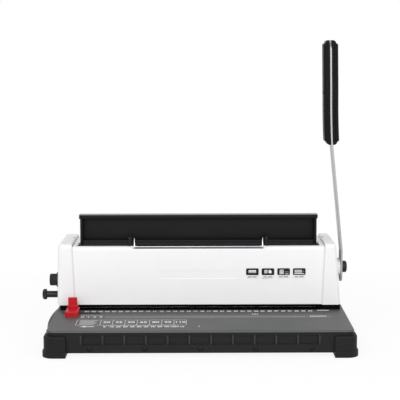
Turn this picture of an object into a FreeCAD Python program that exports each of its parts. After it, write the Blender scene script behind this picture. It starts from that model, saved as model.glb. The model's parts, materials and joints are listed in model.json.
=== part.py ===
import FreeCAD, Part

import math
import os

# A desk machine that punches a row of square holes along a sheet and closes wire loops.
# Millimetres. X runs to the right, Y to the back, Z up. The drawing zero is on the
# desk, under the middle of the table's width and under the housing's front face.

# Base, from the desk upwards
base_bottom = 5.0
base_high = 24.5
base_wall = 3.0
base_inset = 1.0  # the base stands in from the table's edge by this
apron_thick = 5.5
pocket_count = 11
pocket_pitch = 25.4
pocket_rib = 2.8
pocket_deep = 2.5
pocket_rise = 10.2  # from the base's lower edge
pocket_high = 11.0
floor_gap = 0.3
floor_thick = 1.2
post_radius = 4.0
rail_thick = 2.0

# Table
table_width = 362.0
table_reach = 112.0  # from the housing's front face to the table's front edge
table_thick = 2.5
table_corner = 9.0
table_edge_round = 2.2

# Rubber corner shoes
shoe_along = 27.0
shoe_high = 25.5
shoe_proud = 3.2
shoe_flange = 1.6
shoe_flange_high = 7.6

# Chip drawer
drawer_set_back = 32.0  # from the table's front edge back to the drawer
drawer_back = 24.0
drawer_long = 330.0
drawer_high = 13.7
drawer_wall = 2.0
drawer_head_room = 3.0
grip_over = 5.0
grip_bulge = 4.6
grip_rise = 4.0
grip_high = 20.0
grip_rim = 1.4

# Hole row and punch tools
row_x = -2.0
hole_count = 34
hole_pitch = 25.4 / 3.0
hole_size = 4.0
punch_line = 12.0  # from the housing's front face back to the hole row
tool_half = 150.5
die_front = 2.0
die_back = 30.0
die_thick = 6.0
die_play = 0.15
paper_gap = 2.5
guide_front = 5.0
guide_back = 25.0
guide_thick = 8.0
guide_play = 0.1
guide_lead = 2.0
pin_rest_gap = 0.5  # the pins' ends wait this far above the paper gap
pin_seat = 10.0
beam_half = 143.0
beam_thick = 12.0
beam_high = 18.0
beam_gap = 1.2  # left between the beam and the punch guide at the end of the stroke
keeper_thick = 1.5
keeper_high = 7.0

# Back stop and margin rod
stop_front = 17.0
stop_back = 40.0
stop_thick = 1.9
stop_half = 149.8
stud_x = 60.0
stud_behind = 4.0  # the studs stand this far behind the margin rod
stud_radius = 2.0
stud_shoulder = 4.0
slot_slope = 0.25
margin_travel = 8.0
margin_end_gap = 2.0
margin_bar_rise = 13.1
margin_bar_thick = 3.0
margin_bar_wide = 14.0
margin_bar_long = 222.0
margin_rod_y = 30.0
margin_rod_radius = 4.3
margin_rod_reach = 18.5
margin_head_radius = 6.7
margin_head_long = 5.0
margin_head_bevel = 1.4

# Side frames and what ties them
frame_thick = 4.0
frame_clear = 2.0  # between the frame's edges and the covers
frame_flat_back = 70.0
frame_foot_wide = 14.0
frame_foot_thick = 3.0
frame_foot_front = 34.0
foot_screw_inset = 10.0
tab_drop = 2.5  # the cap tabs lie this far under the deck
tab_thick = 3.0
tab_wide = 16.0
tab_over = 4.0
tie_radius = 5.0
tie_rod_y = 74.0
tie_rod_rise = 64.0
tie_bar_thick = 12.0
tie_bar_high = 12.0
tie_bar_rise = 4.0

# Main shaft, pinions and racks
shaft_y = 42.0
shaft_rise = 47.4
shaft_radius = 8.0
running_play = 0.05
bush_wall = 3.0
bush_flange = 2.0
bush_rim = 3.0
ring_thick = 1.2
ring_rim = 2.2
ring_gap = 0.2
handle_swing = 95.0
punch_pitch_radius = 8.0
punch_teeth = 16
closer_pitch_radius = 14.0
closer_teeth = 14
tooth_slope = 20.0
tooth_play = 0.2
gear_width = 9.0
rack_width = 8.0
rack_back = 5.0  # metal behind the punch racks' tooth roots
rack_margin = 6.0
closer_rack_below = 8.0
punch_rack_x = 93.0
closer_rack_x = 127.0
bracket_width = 14.0
bracket_high = 10.0
bracket_drop = 2.0

# Wire closer
closer_half = 148.5
flange_over = 1.0
closer_over = 38.9  # from the deck up to the closer's top
closer_front = 7.4
closer_back = 22.0
closer_sheet = 2.0
closer_edge_round = 1.0
cheek_thick = 3.0
cheek_front = 9.0
lip_high = 5.0
lip_thick = 1.6
web_drop = 5.0  # the web reaches this far under the deck
leg_width = 16.0
leg_drop = 12.0  # the legs end this far below the shaft
closer_slot_play = 0.4
deck_slot_play = 0.7

# Fixed lower jaw and the beam that carries it
jaw_high = 7.0
jaw_bevel = 0.8
surround_thick = 1.5
surround_front = 1.4
surround_back = 2.4
surround_side = 3.0
jaw_side_gap = 0.6
jaw_groove = 1.6
groove_rise = 3.2
groove_high = 2.0
jaw_beam_back = 17.0
jaw_beam_thick = 2.5
jaw_beam_leg = 18.0
jaw_beam_drop = 8.0  # under the deck's top
shelf_inset = 12.0
boss_radius = 4.0
boss_x = 100.0

# Wire holder bail and its ears
bail_radius = 1.25
bail_left = -84.0
bail_right = 79.5
bail_rest_y = 2.2
bail_rest_drop = 1.55  # the resting crossbar's middle under the deck's top
bail_pivot_y = 4.6
bail_pivot_over = 10.0  # the pivots over the deck's top
bail_tip_radius = 0.8  # the arms taper to this at the pivots
bail_hook = 3.6
bail_play = 0.06
ear_thick = 4.0
ear_gap = 0.4
ear_radius = 2.4

# Return springs
spring_x = 112.0
spring_radius = 4.0
spring_wire = 0.6
spring_turns = 9
peg_high = 4.0
peg_play = 0.4

# Housing
cover_rise = 6.9  # from the table up to the front cover's lower edge
cover_high = 74.0
cover_half_low = 155.0
cover_half_high = 158.0
cover_wall = 2.5
cover_round = 5.0
deck_split = 60.0
split_gap = 0.3
lap_long = 6.0
lap_thick = 1.6
housing_depth = 108.0
sill_high = 6.1
sill_front = 0.8
sill_outer = 176.0
cap_over = 3.0  # the caps stand this much over the deck
cap_left = -178.0
cap_right_low = 176.5
cap_lean = 6.0
cap_wall = 2.5
cap_side_round = 5.0
seam_gap = 0.5
cap_lip = 2.5
lip_flange = 2.5
lip_wall = 1.4
roof_flat = 93.0  # the roof is flat this far back
roof_round = 12.0
slope_drop = 39.0  # the slanted back ends this far under the deck's top
rear_inset = 1.5
notch_left = -88.0
notch_right = 84.0
notch_deep = 3.1
notch_back = 4.4
strip_left = -50.4
strip_right = 47.2
strip_rise = 40.2  # from the table
strip_high = 10.1
strip_deep = 0.8
badge_count = 4
badge_first = 57.6
badge_pitch = 19.6
badge_width = 15.8
badge_high = 12.7
badge_thick = 0.8
badge_proud = 0.2
badge_fit = 0.15
badge_round = 1.6

# Size selector
selector_y = 16.0
selector_rise = 36.3
selector_radius = 4.0
knob_radius = 7.6
knob_long = 10.0
knob_flange_radius = 9.5
knob_flange_long = 1.7
knob_grooves = 18
groove_radius = 0.75
knob_bore_wall = 3.0
cam_small = 7.0
cam_step = 2.0
cam_thick = 5.0
cam_shaft_end = 1.0
stop_gap = 0.3

# Handle
bar_clear = 3.0  # from the right cap's foot out to the bar
bar_thick = 2.8
bar_wide = 20.0
bar_below = 19.0  # all from the shaft's height
bend_rise = 22.0
bow_rise = 226.0  # above this the bar stands upright
handle_reach = 289.0
grip_foot_x = 167.4
bar_top_x = 164.3
bar_top_cover = 3.0
grip_long = 131.5
grip_wide = 24.0
grip_thick = 8.0
grip_round = 5.0
grip_end_round = 2.0
tang_thick = 5.6  # the grip's thinner part, whose rounded ends pass the thick pads
tang_wide = 22.0
tang_end_round = 4.6
pad_inset = 4.2  # the pads end this far inside the tang's ends
rivet_radius = 2.5
tongue_size = 10.0
bolt_radius = 3.0
bolt_long = 14.0
bolt_head_radius = 5.6
bolt_head_long = 3.2
pivot_cap_radius = 7.6
pivot_cap_long = 6.2
pivot_cap_wall = 1.4
pivot_cap_round = 2.6
collar_wall = 3.4

# Red edge guide
guide_inset = 23.0  # from the table's left edge to the guide's middle
slot_inset = 9.2
slot_long = 47.8
slot_y = -16.3
slot_wide = 4.6
edge_block_wide = 18.0
edge_block_front = -40.0
edge_block_back = -10.4
edge_block_high = 6.6
edge_tab_wide = 11.2
edge_tab_thick = 2.6
edge_tab_inset = 1.2
edge_tab_high = 12.7
edge_step_wide = 13.2
edge_step_deep = 2.4
edge_step_high = 3.2
edge_stem_long = 10.0
edge_stem_play = 0.1
clamp_long = 16.0
clamp_wide = 14.0
clamp_thick = 2.4
clamp_gap = 0.15

# Screws
small_screw = 1.5
small_core = 1.3  # the drilled core that a small screw cuts its thread in
small_head = 2.8
small_head_long = 1.8
head_play = 0.1
roof_head = 2.0
roof_head_long = 1.2
roof_screw_y = 56.0
roof_boss = 4.0
floor_screw_long = 8.0
apron_screw_pitch = 65.0
apron_screw_rise = 4.7
frame_screw = 2.0
frame_head = 3.5
frame_head_long = 2.4
frame_screw_long = 8.0
tool_screw_behind = 8.0  # behind the hole row
rear_screw_x = (45.0, 135.0)
rear_head_long = 1.4
socket_share = 0.45

contact_gap = 0.3
spare = 60.0  # how far cutting shapes run past what they cut

# Worked out from the sizes above
table_under = base_bottom + base_high
table_top = table_under + table_thick
table_half = table_width / 2.0
guide_x = -table_half + guide_inset
slot_left = -table_half + slot_inset
slot_right = slot_left + slot_long
base_half = table_half - base_inset
base_front = -table_reach + base_inset
base_back = housing_depth - base_inset
floor_low = base_bottom + floor_gap
floor_top = floor_low + floor_thick
drawer_low = floor_top + contact_gap
drawer_top = drawer_low + drawer_high
drawer_front = table_reach - drawer_set_back
drawer_left = -base_half - contact_gap
drawer_right = drawer_left + drawer_long
apron_screw_z = base_bottom + apron_screw_rise

swing = math.radians(handle_swing)
punch_stroke = punch_pitch_radius * swing
closer_stroke = closer_pitch_radius * swing
punch_module = 2.0 * punch_pitch_radius / punch_teeth
closer_module = 2.0 * closer_pitch_radius / closer_teeth

guide_low = table_top + paper_gap
guide_top = guide_low + guide_thick
beam_low = guide_top + punch_stroke + beam_gap
beam_top = beam_low + beam_high
beam_front = punch_line - beam_thick / 2.0
beam_back = punch_line + beam_thick / 2.0
punch_rack_back = shaft_y - punch_pitch_radius - 1.25 * punch_module - rack_back
frame_inner = tool_half
frame_outer = tool_half + frame_thick
frame_inset = cover_wall + frame_clear
bush_seat = shaft_radius + bush_wall

cover_bottom = table_top + cover_rise
cover_top = cover_bottom + cover_high
deck_low = cover_top - cover_wall
sill_top = table_top + sill_high
cap_top = cover_top + cap_over
slope_foot = cover_top - slope_drop
rear_face = housing_depth - rear_inset
half_slope = (cover_half_high - cover_half_low) / cover_high
tab_top = deck_low - tab_drop
strip_low = table_top + strip_rise

shaft_z = table_top + shaft_rise
selector_z = table_top + selector_rise
margin_bar_low = table_top + margin_bar_rise
margin_bar_top = margin_bar_low + margin_bar_thick
margin_bar_left = row_x - frame_inner + margin_travel + margin_end_gap
margin_rod_z = margin_bar_low + margin_bar_thick / 2.0
stud_y = margin_rod_y + stud_behind
tie_rod_z = table_top + tie_rod_rise
tie_bar_low = table_top + tie_bar_rise
tie_bar_back = rear_face - cover_wall
tie_bar_y = tie_bar_back - tie_bar_thick / 2.0
tie_bar_z = tie_bar_low + tie_bar_high / 2.0
die_screw_z = table_top - die_thick / 2.0
guide_screw_z = guide_low + guide_thick / 2.0

closer_top = cover_top + closer_over
closer_under = closer_top - closer_sheet
cam_large = cam_small + 3.0 * cam_step
cam_left = row_x - closer_half + cheek_thick / 2.0 - cam_thick / 2.0
cam_right = cam_left + cam_thick
stop_foot = selector_z + cam_large + stop_gap + closer_stroke
jaw_top = cover_top + jaw_high
surround_top = cover_top + surround_thick
jaw_beam_top = cover_top - jaw_beam_drop
peg_radius = spring_radius - spring_wire - peg_play
bail_rest_z = cover_top - bail_rest_drop
bail_pivot_z = cover_top + bail_pivot_over

bar_inner = cap_right_low + bar_clear
bar_outer = bar_inner + bar_thick
bar_low = shaft_z - bar_below
bend_z = shaft_z + bend_rise
bow_z = shaft_z + bow_rise
handle_top = shaft_z + handle_reach
grip_foot_z = handle_top - grip_long
knob_right = cap_left - contact_gap - knob_flange_long
knob_left = knob_right - knob_long
margin_head_right = cap_left - margin_rod_reach
margin_head_left = margin_head_right - margin_head_long
handle_right = bar_outer + pivot_cap_long

shoe_half = table_half + shoe_proud + shoe_flange
shoe_front = table_reach + shoe_proud + shoe_flange
shoe_rear = housing_depth + shoe_proud + shoe_flange

# The origin: under the middle of the whole machine, on the desk
origin_x = (min(margin_head_left, -shoe_half) + max(handle_right, shoe_half)) / 2.0
origin_y = (shoe_rear - shoe_front) / 2.0


def vec(x, y, z):
    return FreeCAD.Vector(x, y, z)


def block(x_low, x_high, y_low, y_high, z_low, z_high):
    corner = vec(min(x_low, x_high), y_low, z_low)
    return Part.makeBox(abs(x_high - x_low), y_high - y_low, z_high - z_low, corner)


def rod_x(radius, x_low, x_high, y, z):
    start = vec(min(x_low, x_high), y, z)
    return Part.makeCylinder(radius, abs(x_high - x_low), start, vec(1, 0, 0))


def rod_y(radius, y_low, y_high, x, z):
    return Part.makeCylinder(radius, y_high - y_low, vec(x, y_low, z), vec(0, 1, 0))


def rod_z(radius, z_low, z_high, x, y):
    return Part.makeCylinder(radius, z_high - z_low, vec(x, y, z_low), vec(0, 0, 1))


def prism(points, along):
    return Part.Face(Part.makePolygon(points + points[:1])).extrude(along)


def prism_x(outline, x_low, x_high):
    """A solid whose section is an outline of (y, z) points."""
    low, high = min(x_low, x_high), max(x_low, x_high)
    return prism([vec(low, y, z) for y, z in outline], vec(high - low, 0, 0))


def prism_y(outline, y_low, y_high):
    """A solid whose section is an outline of (x, z) points."""
    return prism([vec(x, y_low, z) for x, z in outline], vec(0, y_high - y_low, 0))


def prism_z(outline, z_low, z_high):
    """A solid whose section is an outline of (x, y) points."""
    return prism([vec(x, y, z_low) for x, y in outline], vec(0, 0, z_high - z_low))


def joined(shapes):
    """One clean solid from shapes that touch or overlap."""
    whole = shapes[0].fuse(shapes[1:]) if len(shapes) > 1 else shapes[0]
    return whole.removeSplitter()


def rounded(shape, radius, wanted):
    """Round the edges whose bounding box passes the test."""
    return shape.makeFillet(radius, [edge for edge in shape.Edges if wanted(edge.BoundBox)])


def bevelled(shape, size, wanted):
    """Bevel the edges whose bounding box passes the test."""
    return shape.makeChamfer(size, [edge for edge in shape.Edges if wanted(edge.BoundBox)])


def upright(box):
    return box.ZLength > 0.5 and box.XLength < 0.01 and box.YLength < 0.01


def near(value, target):
    return abs(value - target) < 0.01


def both_sides(distances):
    """Places in X at these distances left and right of the hole row's middle."""
    return [row_x + side * distance for side in (-1, 1) for distance in distances]


def save(name, shapes):
    """Write one node, moved so that the origin is at zero."""
    solids = shapes if isinstance(shapes, list) else [shapes]
    moved = []
    for solid in solids:
        copy = solid.copy()
        copy.translate(vec(-origin_x, -origin_y, 0))
        moved.append(copy)
    whole = moved[0] if len(moved) == 1 else Part.makeCompound(moved)
    if not whole.isValid():
        print("not valid:", name)
    if len(whole.Solids) != len(moved):
        print("in pieces:", name, len(whole.Solids), "for", len(moved))
    whole.exportStep("parts/" + name + ".step")


# Base

def floor_screw_places():
    """Along the rear wall and along the right wall, clear of the drawer and the shoes."""
    side = base_half - base_wall - post_radius + 1.0
    rear = base_back - base_wall - post_radius + 1.0
    inward = base_half - shoe_along - post_radius
    middle = (drawer_back + base_back) / 2.0
    return [(-inward, rear), (0.0, rear), (inward, rear), (side, middle),
            (side, base_front + shoe_along)]


def apron_screw_places():
    return [apron_screw_pitch * (index - 2) for index in range(5)]


def make_base_tray():
    shell = block(-base_half, base_half, base_front, base_back, base_bottom, table_under)
    shell = rounded(shell, table_corner - base_inset, upright)
    cavity = block(-base_half + base_wall, base_half - base_wall, base_front + apron_thick,
                   base_back - base_wall, base_bottom - 1.0, table_under + 1.0)
    parts = [shell.cut(cavity)]
    for y_low in (-drawer_front - contact_gap - rail_thick, drawer_back + contact_gap):
        parts.append(block(-base_half + 1.0, drawer_right, y_low, y_low + rail_thick,
                           floor_top, drawer_top + drawer_head_room))
    for x, y in floor_screw_places():
        parts.append(rod_z(post_radius, floor_top, table_under, x, y))
    tools = [block(-base_half - spare, drawer_right + contact_gap,
                   -drawer_front - contact_gap, drawer_back + contact_gap, floor_top,
                   drawer_top + drawer_head_room)]
    first = -pocket_pitch * pocket_count / 2.0
    low = base_bottom + pocket_rise
    for index in range(pocket_count):
        left = first + pocket_pitch * index + pocket_rib / 2.0
        tools.append(block(left, left + pocket_pitch - pocket_rib, base_front - 1.0,
                           base_front + pocket_deep, low, low + pocket_high))
    for x in apron_screw_places():
        tools.append(rod_y(small_screw, base_front - 1.0, base_front + apron_thick + 1.0,
                           x, apron_screw_z))
        tools.append(rod_y(small_head + head_play, base_front - 1.0,
                           base_front + small_head_long, x, apron_screw_z))
    for x, y in floor_screw_places():
        tools.append(rod_z(small_core, floor_top - 1.0, floor_top + floor_screw_long, x, y))
    return joined(parts).cut(tools)


def make_bottom_plate():
    inset = base_wall + contact_gap
    front = base_front + apron_thick
    plate = block(-base_half + inset, base_half - inset, front, base_back - inset, floor_low,
                  floor_top)
    flange = block(-base_half + shoe_along, base_half - shoe_along, front,
                   front + floor_thick, floor_low, apron_screw_z + small_head)
    tools = [rod_y(small_core, base_front, front + spare, x, apron_screw_z)
             for x in apron_screw_places()]
    tools += [rod_z(small_screw, floor_low - 1.0, floor_top + 1.0, x, y)
              for x, y in floor_screw_places()]
    return joined([plate, flange]).cut(tools)


def make_apron_screws():
    screws = []
    seat = base_front + small_head_long
    for x in apron_screw_places():
        head = rod_y(small_head, base_front + contact_gap, seat, x, apron_screw_z)
        shank = rod_y(small_core, seat, base_front + apron_thick + 2.0 * floor_thick, x,
                      apron_screw_z)
        socket = rod_y(small_head * socket_share, base_front, base_front + small_screw, x,
                       apron_screw_z)
        screws.append(joined([head, shank]).cut(socket))
    return screws


def make_floor_screws():
    screws = []
    for x, y in floor_screw_places():
        head = rod_z(small_head, floor_low - small_head_long, floor_low, x, y)
        shank = rod_z(small_core, floor_low, floor_low + floor_screw_long, x, y)
        screws.append(joined([head, shank]))
    return screws


def make_shoe(side_x, side_y):
    """A rubber shoe wrapped round one lower corner of the base."""
    edge_y = table_reach if side_y < 0 else housing_depth
    far_x = table_half + shoe_proud
    far_y = edge_y + shoe_proud
    near_x = far_x - shoe_along
    near_y = far_y - shoe_along

    def corner_at(x, y):
        return lambda box: upright(box) and near(box.XMax, x) and near(box.YMax, y)

    body = rounded(block(near_x, far_x, near_y, far_y, 0.0, shoe_high),
                   table_corner + shoe_proud, corner_at(far_x, far_y))
    body = bevelled(body, shoe_flange, lambda box: near(box.ZMin, shoe_high)
                    and (near(box.XMax, far_x) or near(box.YMax, far_y)))
    foot_x = far_x + shoe_flange
    foot_y = far_y + shoe_flange
    foot = rounded(block(near_x, foot_x, near_y, foot_y, 0.0, shoe_flange_high),
                   table_corner + shoe_proud + shoe_flange, corner_at(foot_x, foot_y))
    seat_y = edge_y - base_inset
    seat = rounded(block(near_x - 1.0, base_half, near_y - 1.0, seat_y, base_bottom,
                         table_top), table_corner - base_inset, corner_at(base_half, seat_y))
    body = joined([body, foot]).cut(seat)
    if side_x < 0:
        body = body.mirror(vec(0, 0, 0), vec(1, 0, 0))
    if side_y < 0:
        body = body.mirror(vec(0, 0, 0), vec(0, 1, 0))
    return body


# Table, drawer and edge guide

def foot_screw_places():
    """(x, y) of the screws through both frames' feet into the table."""
    x = frame_outer + frame_foot_wide / 2.0
    rear = rear_face - frame_inset - foot_screw_inset
    return [(place, y) for place in both_sides([x])
            for y in (frame_foot_front + foot_screw_inset, rear)]


def make_work_table():
    sheet = block(-table_half, table_half, -table_reach, housing_depth, table_under, table_top)
    sheet = rounded(sheet, table_corner, upright)
    sheet = rounded(sheet, table_edge_round, lambda box: near(box.ZMin, table_top))
    tools = [block(row_x - frame_outer - contact_gap, row_x + frame_outer + contact_gap,
                   die_front - contact_gap, die_back + contact_gap, table_under - 1.0,
                   table_top + 1.0)]
    slot = block(slot_left, slot_right, slot_y - slot_wide / 2.0, slot_y + slot_wide / 2.0,
                 table_under - 1.0, table_top + 1.0)
    tools.append(rounded(slot, slot_wide / 2.0 - 0.05, upright))
    tools += [rod_z(small_core, table_under - 1.0, table_top + 1.0, x, y)
              for x, y in foot_screw_places()]
    return sheet.cut(tools)


def make_chip_drawer():
    outer = block(drawer_left, drawer_right, -drawer_front, drawer_back, drawer_low,
                  drawer_top)
    inner = block(drawer_left + drawer_wall, drawer_right - drawer_wall,
                  -drawer_front + drawer_wall, drawer_back - drawer_wall,
                  drawer_low + drawer_wall, drawer_top + 1.0)
    return outer.cut(inner)


def make_drawer_grip():
    """The bulged finger grip outside the base's left wall."""
    low = base_bottom + grip_rise
    shoulder = drawer_left - grip_rim
    front = -drawer_front - grip_over
    back = drawer_back + grip_over
    middle = (front + back) / 2.0
    tip = vec(-table_half - grip_bulge, middle, low)
    first = vec(shoulder, front, low)
    last = vec(shoulder, back, low)
    start = vec(drawer_left, front, low)
    end = vec(drawer_left, back, low)
    edges = [Part.LineSegment(first, start).toShape(), Part.LineSegment(start, end).toShape(),
             Part.LineSegment(end, last).toShape(), Part.Arc(last, tip, first).toShape()]
    body = Part.Face(Part.Wire(edges)).extrude(vec(0, 0, grip_high))
    scoop = rod_y(grip_bulge, middle - spare / 2.0, middle + spare / 2.0, tip.x - 1.0,
                  low + grip_rise)
    return body.cut(scoop)


def make_edge_guide():
    half = edge_block_wide / 2.0
    top = table_top + edge_block_high
    base = block(guide_x - half, guide_x + half, edge_block_front, edge_block_back, table_top,
                 top)
    base = rounded(base, 1.0, lambda box: near(box.ZMin, top))
    tab_half = edge_tab_wide / 2.0
    tab_back = edge_block_back - edge_tab_inset
    tab_end = top + edge_tab_high
    tab = block(guide_x - tab_half, guide_x + tab_half, tab_back - edge_tab_thick, tab_back,
                top - 1.0, tab_end)
    tab = rounded(tab, 1.0, lambda box: near(box.ZMin, tab_end))
    step_half = edge_step_wide / 2.0
    step_top = top + edge_step_high
    step = block(guide_x - step_half, guide_x + step_half,
                 tab_back - edge_tab_thick - edge_step_deep, tab_back, top - 1.0, step_top)
    step = rounded(step, 0.8, lambda box: near(box.ZMin, step_top))
    stem_half = slot_wide / 2.0 - edge_stem_play
    stem = block(guide_x - edge_stem_long / 2.0, guide_x + edge_stem_long / 2.0,
                 slot_y - stem_half, slot_y + stem_half, table_under - clamp_gap,
                 table_top + 1.0)
    stem = rounded(stem, stem_half - 0.05, upright)
    return joined([base, step, tab, stem])


def make_edge_clamp():
    """The plate under the slot, against the guide's stem."""
    top = table_under - clamp_gap
    return block(guide_x - clamp_long / 2.0, guide_x + clamp_long / 2.0,
                 slot_y - clamp_wide / 2.0, slot_y + clamp_wide / 2.0, top - clamp_thick, top)


# Punch tools

def hole_places():
    first = row_x - hole_pitch * (hole_count - 1) / 2.0
    return [first + hole_pitch * index for index in range(hole_count)]


def square_row(play, z_low, z_high):
    half = hole_size / 2.0 + play
    return [block(x - half, x + half, punch_line - half, punch_line + half, z_low, z_high)
            for x in hole_places()]


def tool_screw_places():
    """(y, z) of the flush screws through each frame into the guide and the die."""
    behind = punch_line + tool_screw_behind
    return [(behind, guide_screw_z), (behind, die_screw_z)]


def tool_screw_bores():
    return [rod_x(frame_screw, x - frame_screw_long, x + frame_screw_long, y, z)
            for x in both_sides([tool_half]) for y, z in tool_screw_places()]


def make_die_plate():
    low = table_top - die_thick
    body = block(row_x - tool_half, row_x + tool_half, die_front, die_back, low, table_top)
    return body.cut(square_row(die_play, low - 1.0, table_top + 1.0) + tool_screw_bores())


def make_punch_guide():
    body = block(row_x - tool_half, row_x + tool_half, guide_front, guide_back, guide_low,
                 guide_top)
    body = bevelled(body, guide_lead, lambda box: box.XLength > 1.0
                    and near(box.YMax, guide_front) and near(box.ZMax, guide_low))
    return body.cut(square_row(guide_play, guide_low - 1.0, guide_top + 1.0)
                    + tool_screw_bores())


def make_punch_pins():
    return square_row(0.0, guide_low + pin_rest_gap, beam_low + pin_seat)


def make_punch_beam():
    parts = [block(row_x - beam_half, row_x + beam_half, beam_front, beam_back, beam_low,
                   beam_top)]
    high = beam_top - bracket_drop
    for x in both_sides([punch_rack_x]):
        parts.append(block(x - bracket_width / 2.0, x + bracket_width / 2.0, beam_back,
                           punch_rack_back, high - bracket_high, high))
    for x in both_sides([spring_x]):
        parts.append(rod_z(peg_radius, beam_top, beam_top + peg_high, x, punch_line))
    return joined(parts).cut(square_row(0.0, beam_low - 1.0, beam_low + pin_seat))


def make_pin_keeper():
    """The strip along the beam's front that keeps the pins in."""
    return block(row_x - beam_half, row_x + beam_half, beam_front - keeper_thick, beam_front,
                 beam_low + keeper_thick, beam_low + keeper_thick + keeper_high)


# Toothed parts

def involute(angle):
    return math.tan(angle) - angle


def pinion_outline(pitch_radius, teeth):
    """Points (y, z) round a spur pinion with a tooth at each multiple of its pitch."""
    module = 2.0 * pitch_radius / teeth
    slope = math.radians(tooth_slope)
    base_radius = pitch_radius * math.cos(slope)
    tip = pitch_radius + 0.95 * module
    root = pitch_radius - 1.25 * module
    start = max(base_radius, root)
    half_tooth = math.pi / (2.0 * teeth) - tooth_play / (4.0 * pitch_radius)
    steps = 4
    flank = [(root, half_tooth + involute(slope))] if root < start else []
    for step in range(steps + 1):
        radius = start + (tip - start) * step / steps
        angle = math.acos(min(1.0, base_radius / radius))
        flank.append((radius, half_tooth + involute(slope) - involute(angle)))
    points = []
    for index in range(teeth):
        middle = 2.0 * math.pi * index / teeth
        points += [(radius, middle - offset) for radius, offset in flank]
        points += [(radius, middle + offset) for radius, offset in reversed(flank)]
    return [(shaft_y + radius * math.cos(angle), shaft_z + radius * math.sin(angle))
            for radius, angle in points]


def rack_outline(pitch_radius, module, z_low, z_high, back):
    """Points (y, z) of a rack with a gap at the shaft's height, teeth towards the shaft."""
    pitch = math.pi * module
    line = shaft_y - pitch_radius
    root = line - 1.25 * module
    tip = line + 0.8 * module
    slant = math.tan(math.radians(tooth_slope))
    half_line = pitch / 4.0 - tooth_play / 4.0
    half_root = half_line + (line - root) * slant
    half_tip = half_line - (tip - line) * slant
    first = math.ceil((z_low + half_root - shaft_z) / pitch - 0.5)
    last = math.floor((z_high - half_root - shaft_z) / pitch - 0.5)
    points = [(back, z_low), (root, z_low)]
    for index in range(first, last + 1):
        middle = shaft_z + pitch * (index + 0.5)
        points += [(root, middle - half_root), (tip, middle - half_tip),
                   (tip, middle + half_tip), (root, middle + half_root)]
    return points + [(root, z_high), (back, z_high)]


def make_punch_racks():
    low = beam_top - bracket_drop - bracket_high
    high = shaft_z + punch_stroke + rack_margin
    outline = rack_outline(punch_pitch_radius, punch_module, low, high, punch_rack_back)
    return [prism_x(outline, x - rack_width / 2.0, x + rack_width / 2.0)
            for x in both_sides([punch_rack_x])]


def make_closer_racks():
    low = shaft_z - closer_rack_below
    high = shaft_z + closer_stroke + rack_margin
    outline = rack_outline(closer_pitch_radius, closer_module, low, high, closer_back)
    return [prism_x(outline, x - rack_width / 2.0, x + rack_width / 2.0)
            for x in both_sides([closer_rack_x])]


def make_closer_pinions():
    outline = pinion_outline(closer_pitch_radius, closer_teeth)
    pinions = []
    for x in both_sides([closer_rack_x]):
        body = prism_x(outline, x - gear_width / 2.0, x + gear_width / 2.0)
        pinions.append(body.cut(rod_x(shaft_radius, x - gear_width, x + gear_width, shaft_y,
                                      shaft_z)))
    return pinions


# Back stop and margin rod

def make_back_stop():
    parts = [block(row_x - stop_half, row_x + stop_half, stop_front, stop_back, table_top,
                   table_top + stop_thick)]
    for x in both_sides([stud_x]):
        parts.append(rod_z(stud_shoulder, table_top, margin_bar_low, x, stud_y))
        parts.append(rod_z(stud_radius, margin_bar_low, margin_bar_top + 1.0, x, stud_y))
    return joined(parts)


def slanted_slot(start, end, half_width):
    """A round-ended slot cutter between two places, upright through the margin bar."""
    low = margin_bar_low - 1.0
    high = margin_bar_top + 1.0
    along = (end - start).normalize()
    side = vec(-along.y, along.x, 0) * half_width
    corners = [start + side, end + side, end - side, start - side]
    middle = prism_z([(corner.x, corner.y) for corner in corners], low, high)
    return joined([middle] + [rod_z(half_width, low, high, place.x, place.y)
                              for place in (start, end)])


def make_margin_bar():
    """The sliding bar whose slanted slots push the back stop to and fro."""
    y_low = stud_y + margin_travel * slot_slope / 2.0 - margin_bar_wide / 2.0
    body = block(margin_bar_left, margin_bar_left + margin_bar_long, y_low,
                 y_low + margin_bar_wide, margin_bar_low, margin_bar_top)
    tools = []
    for x in both_sides([stud_x]):
        start = vec(x, stud_y, 0)
        end = vec(x + margin_travel, stud_y + margin_travel * slot_slope, 0)
        tools.append(slanted_slot(start, end, stud_radius + running_play))
    return body.cut(tools)


def make_margin_rod():
    return rod_x(margin_rod_radius, margin_head_right, margin_bar_left, margin_rod_y,
                 margin_rod_z)


def make_margin_head():
    body = rod_x(margin_head_radius, margin_head_left, margin_head_right, margin_rod_y,
                 margin_rod_z)
    return bevelled(body, margin_head_bevel, lambda box: near(box.XMax, margin_head_left))


# Housing outlines

def half_at(z):
    """Half the front cover's width at a height: it widens a little towards the top."""
    return cover_half_low + half_slope * (z - cover_bottom)


def seam_wedge(extra):
    """Everything between the two slanted seams, grown by an extra on each side."""
    low = table_top - spare / 2.0
    high = closer_top
    outline = [(row_x - half_at(low) - extra, low), (row_x + half_at(low) + extra, low),
               (row_x + half_at(high) + extra, high), (row_x - half_at(high) - extra, high)]
    return prism_y(outline, -spare, housing_depth + spare)


def side_outline(bottom, top, inset, rear):
    """The housing seen from the side, as (y, z) points, set in by an inset all round."""
    angle = math.atan2(top - slope_foot, rear - roof_flat)
    at_roof = math.tan(angle / 2.0)
    at_foot = math.tan((math.pi / 2.0 - angle) / 2.0)
    return [(inset, bottom), (inset, top - inset), (roof_flat - inset * at_roof, top - inset),
            (rear - inset, slope_foot - inset * at_foot), (rear - inset, bottom)]


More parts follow.
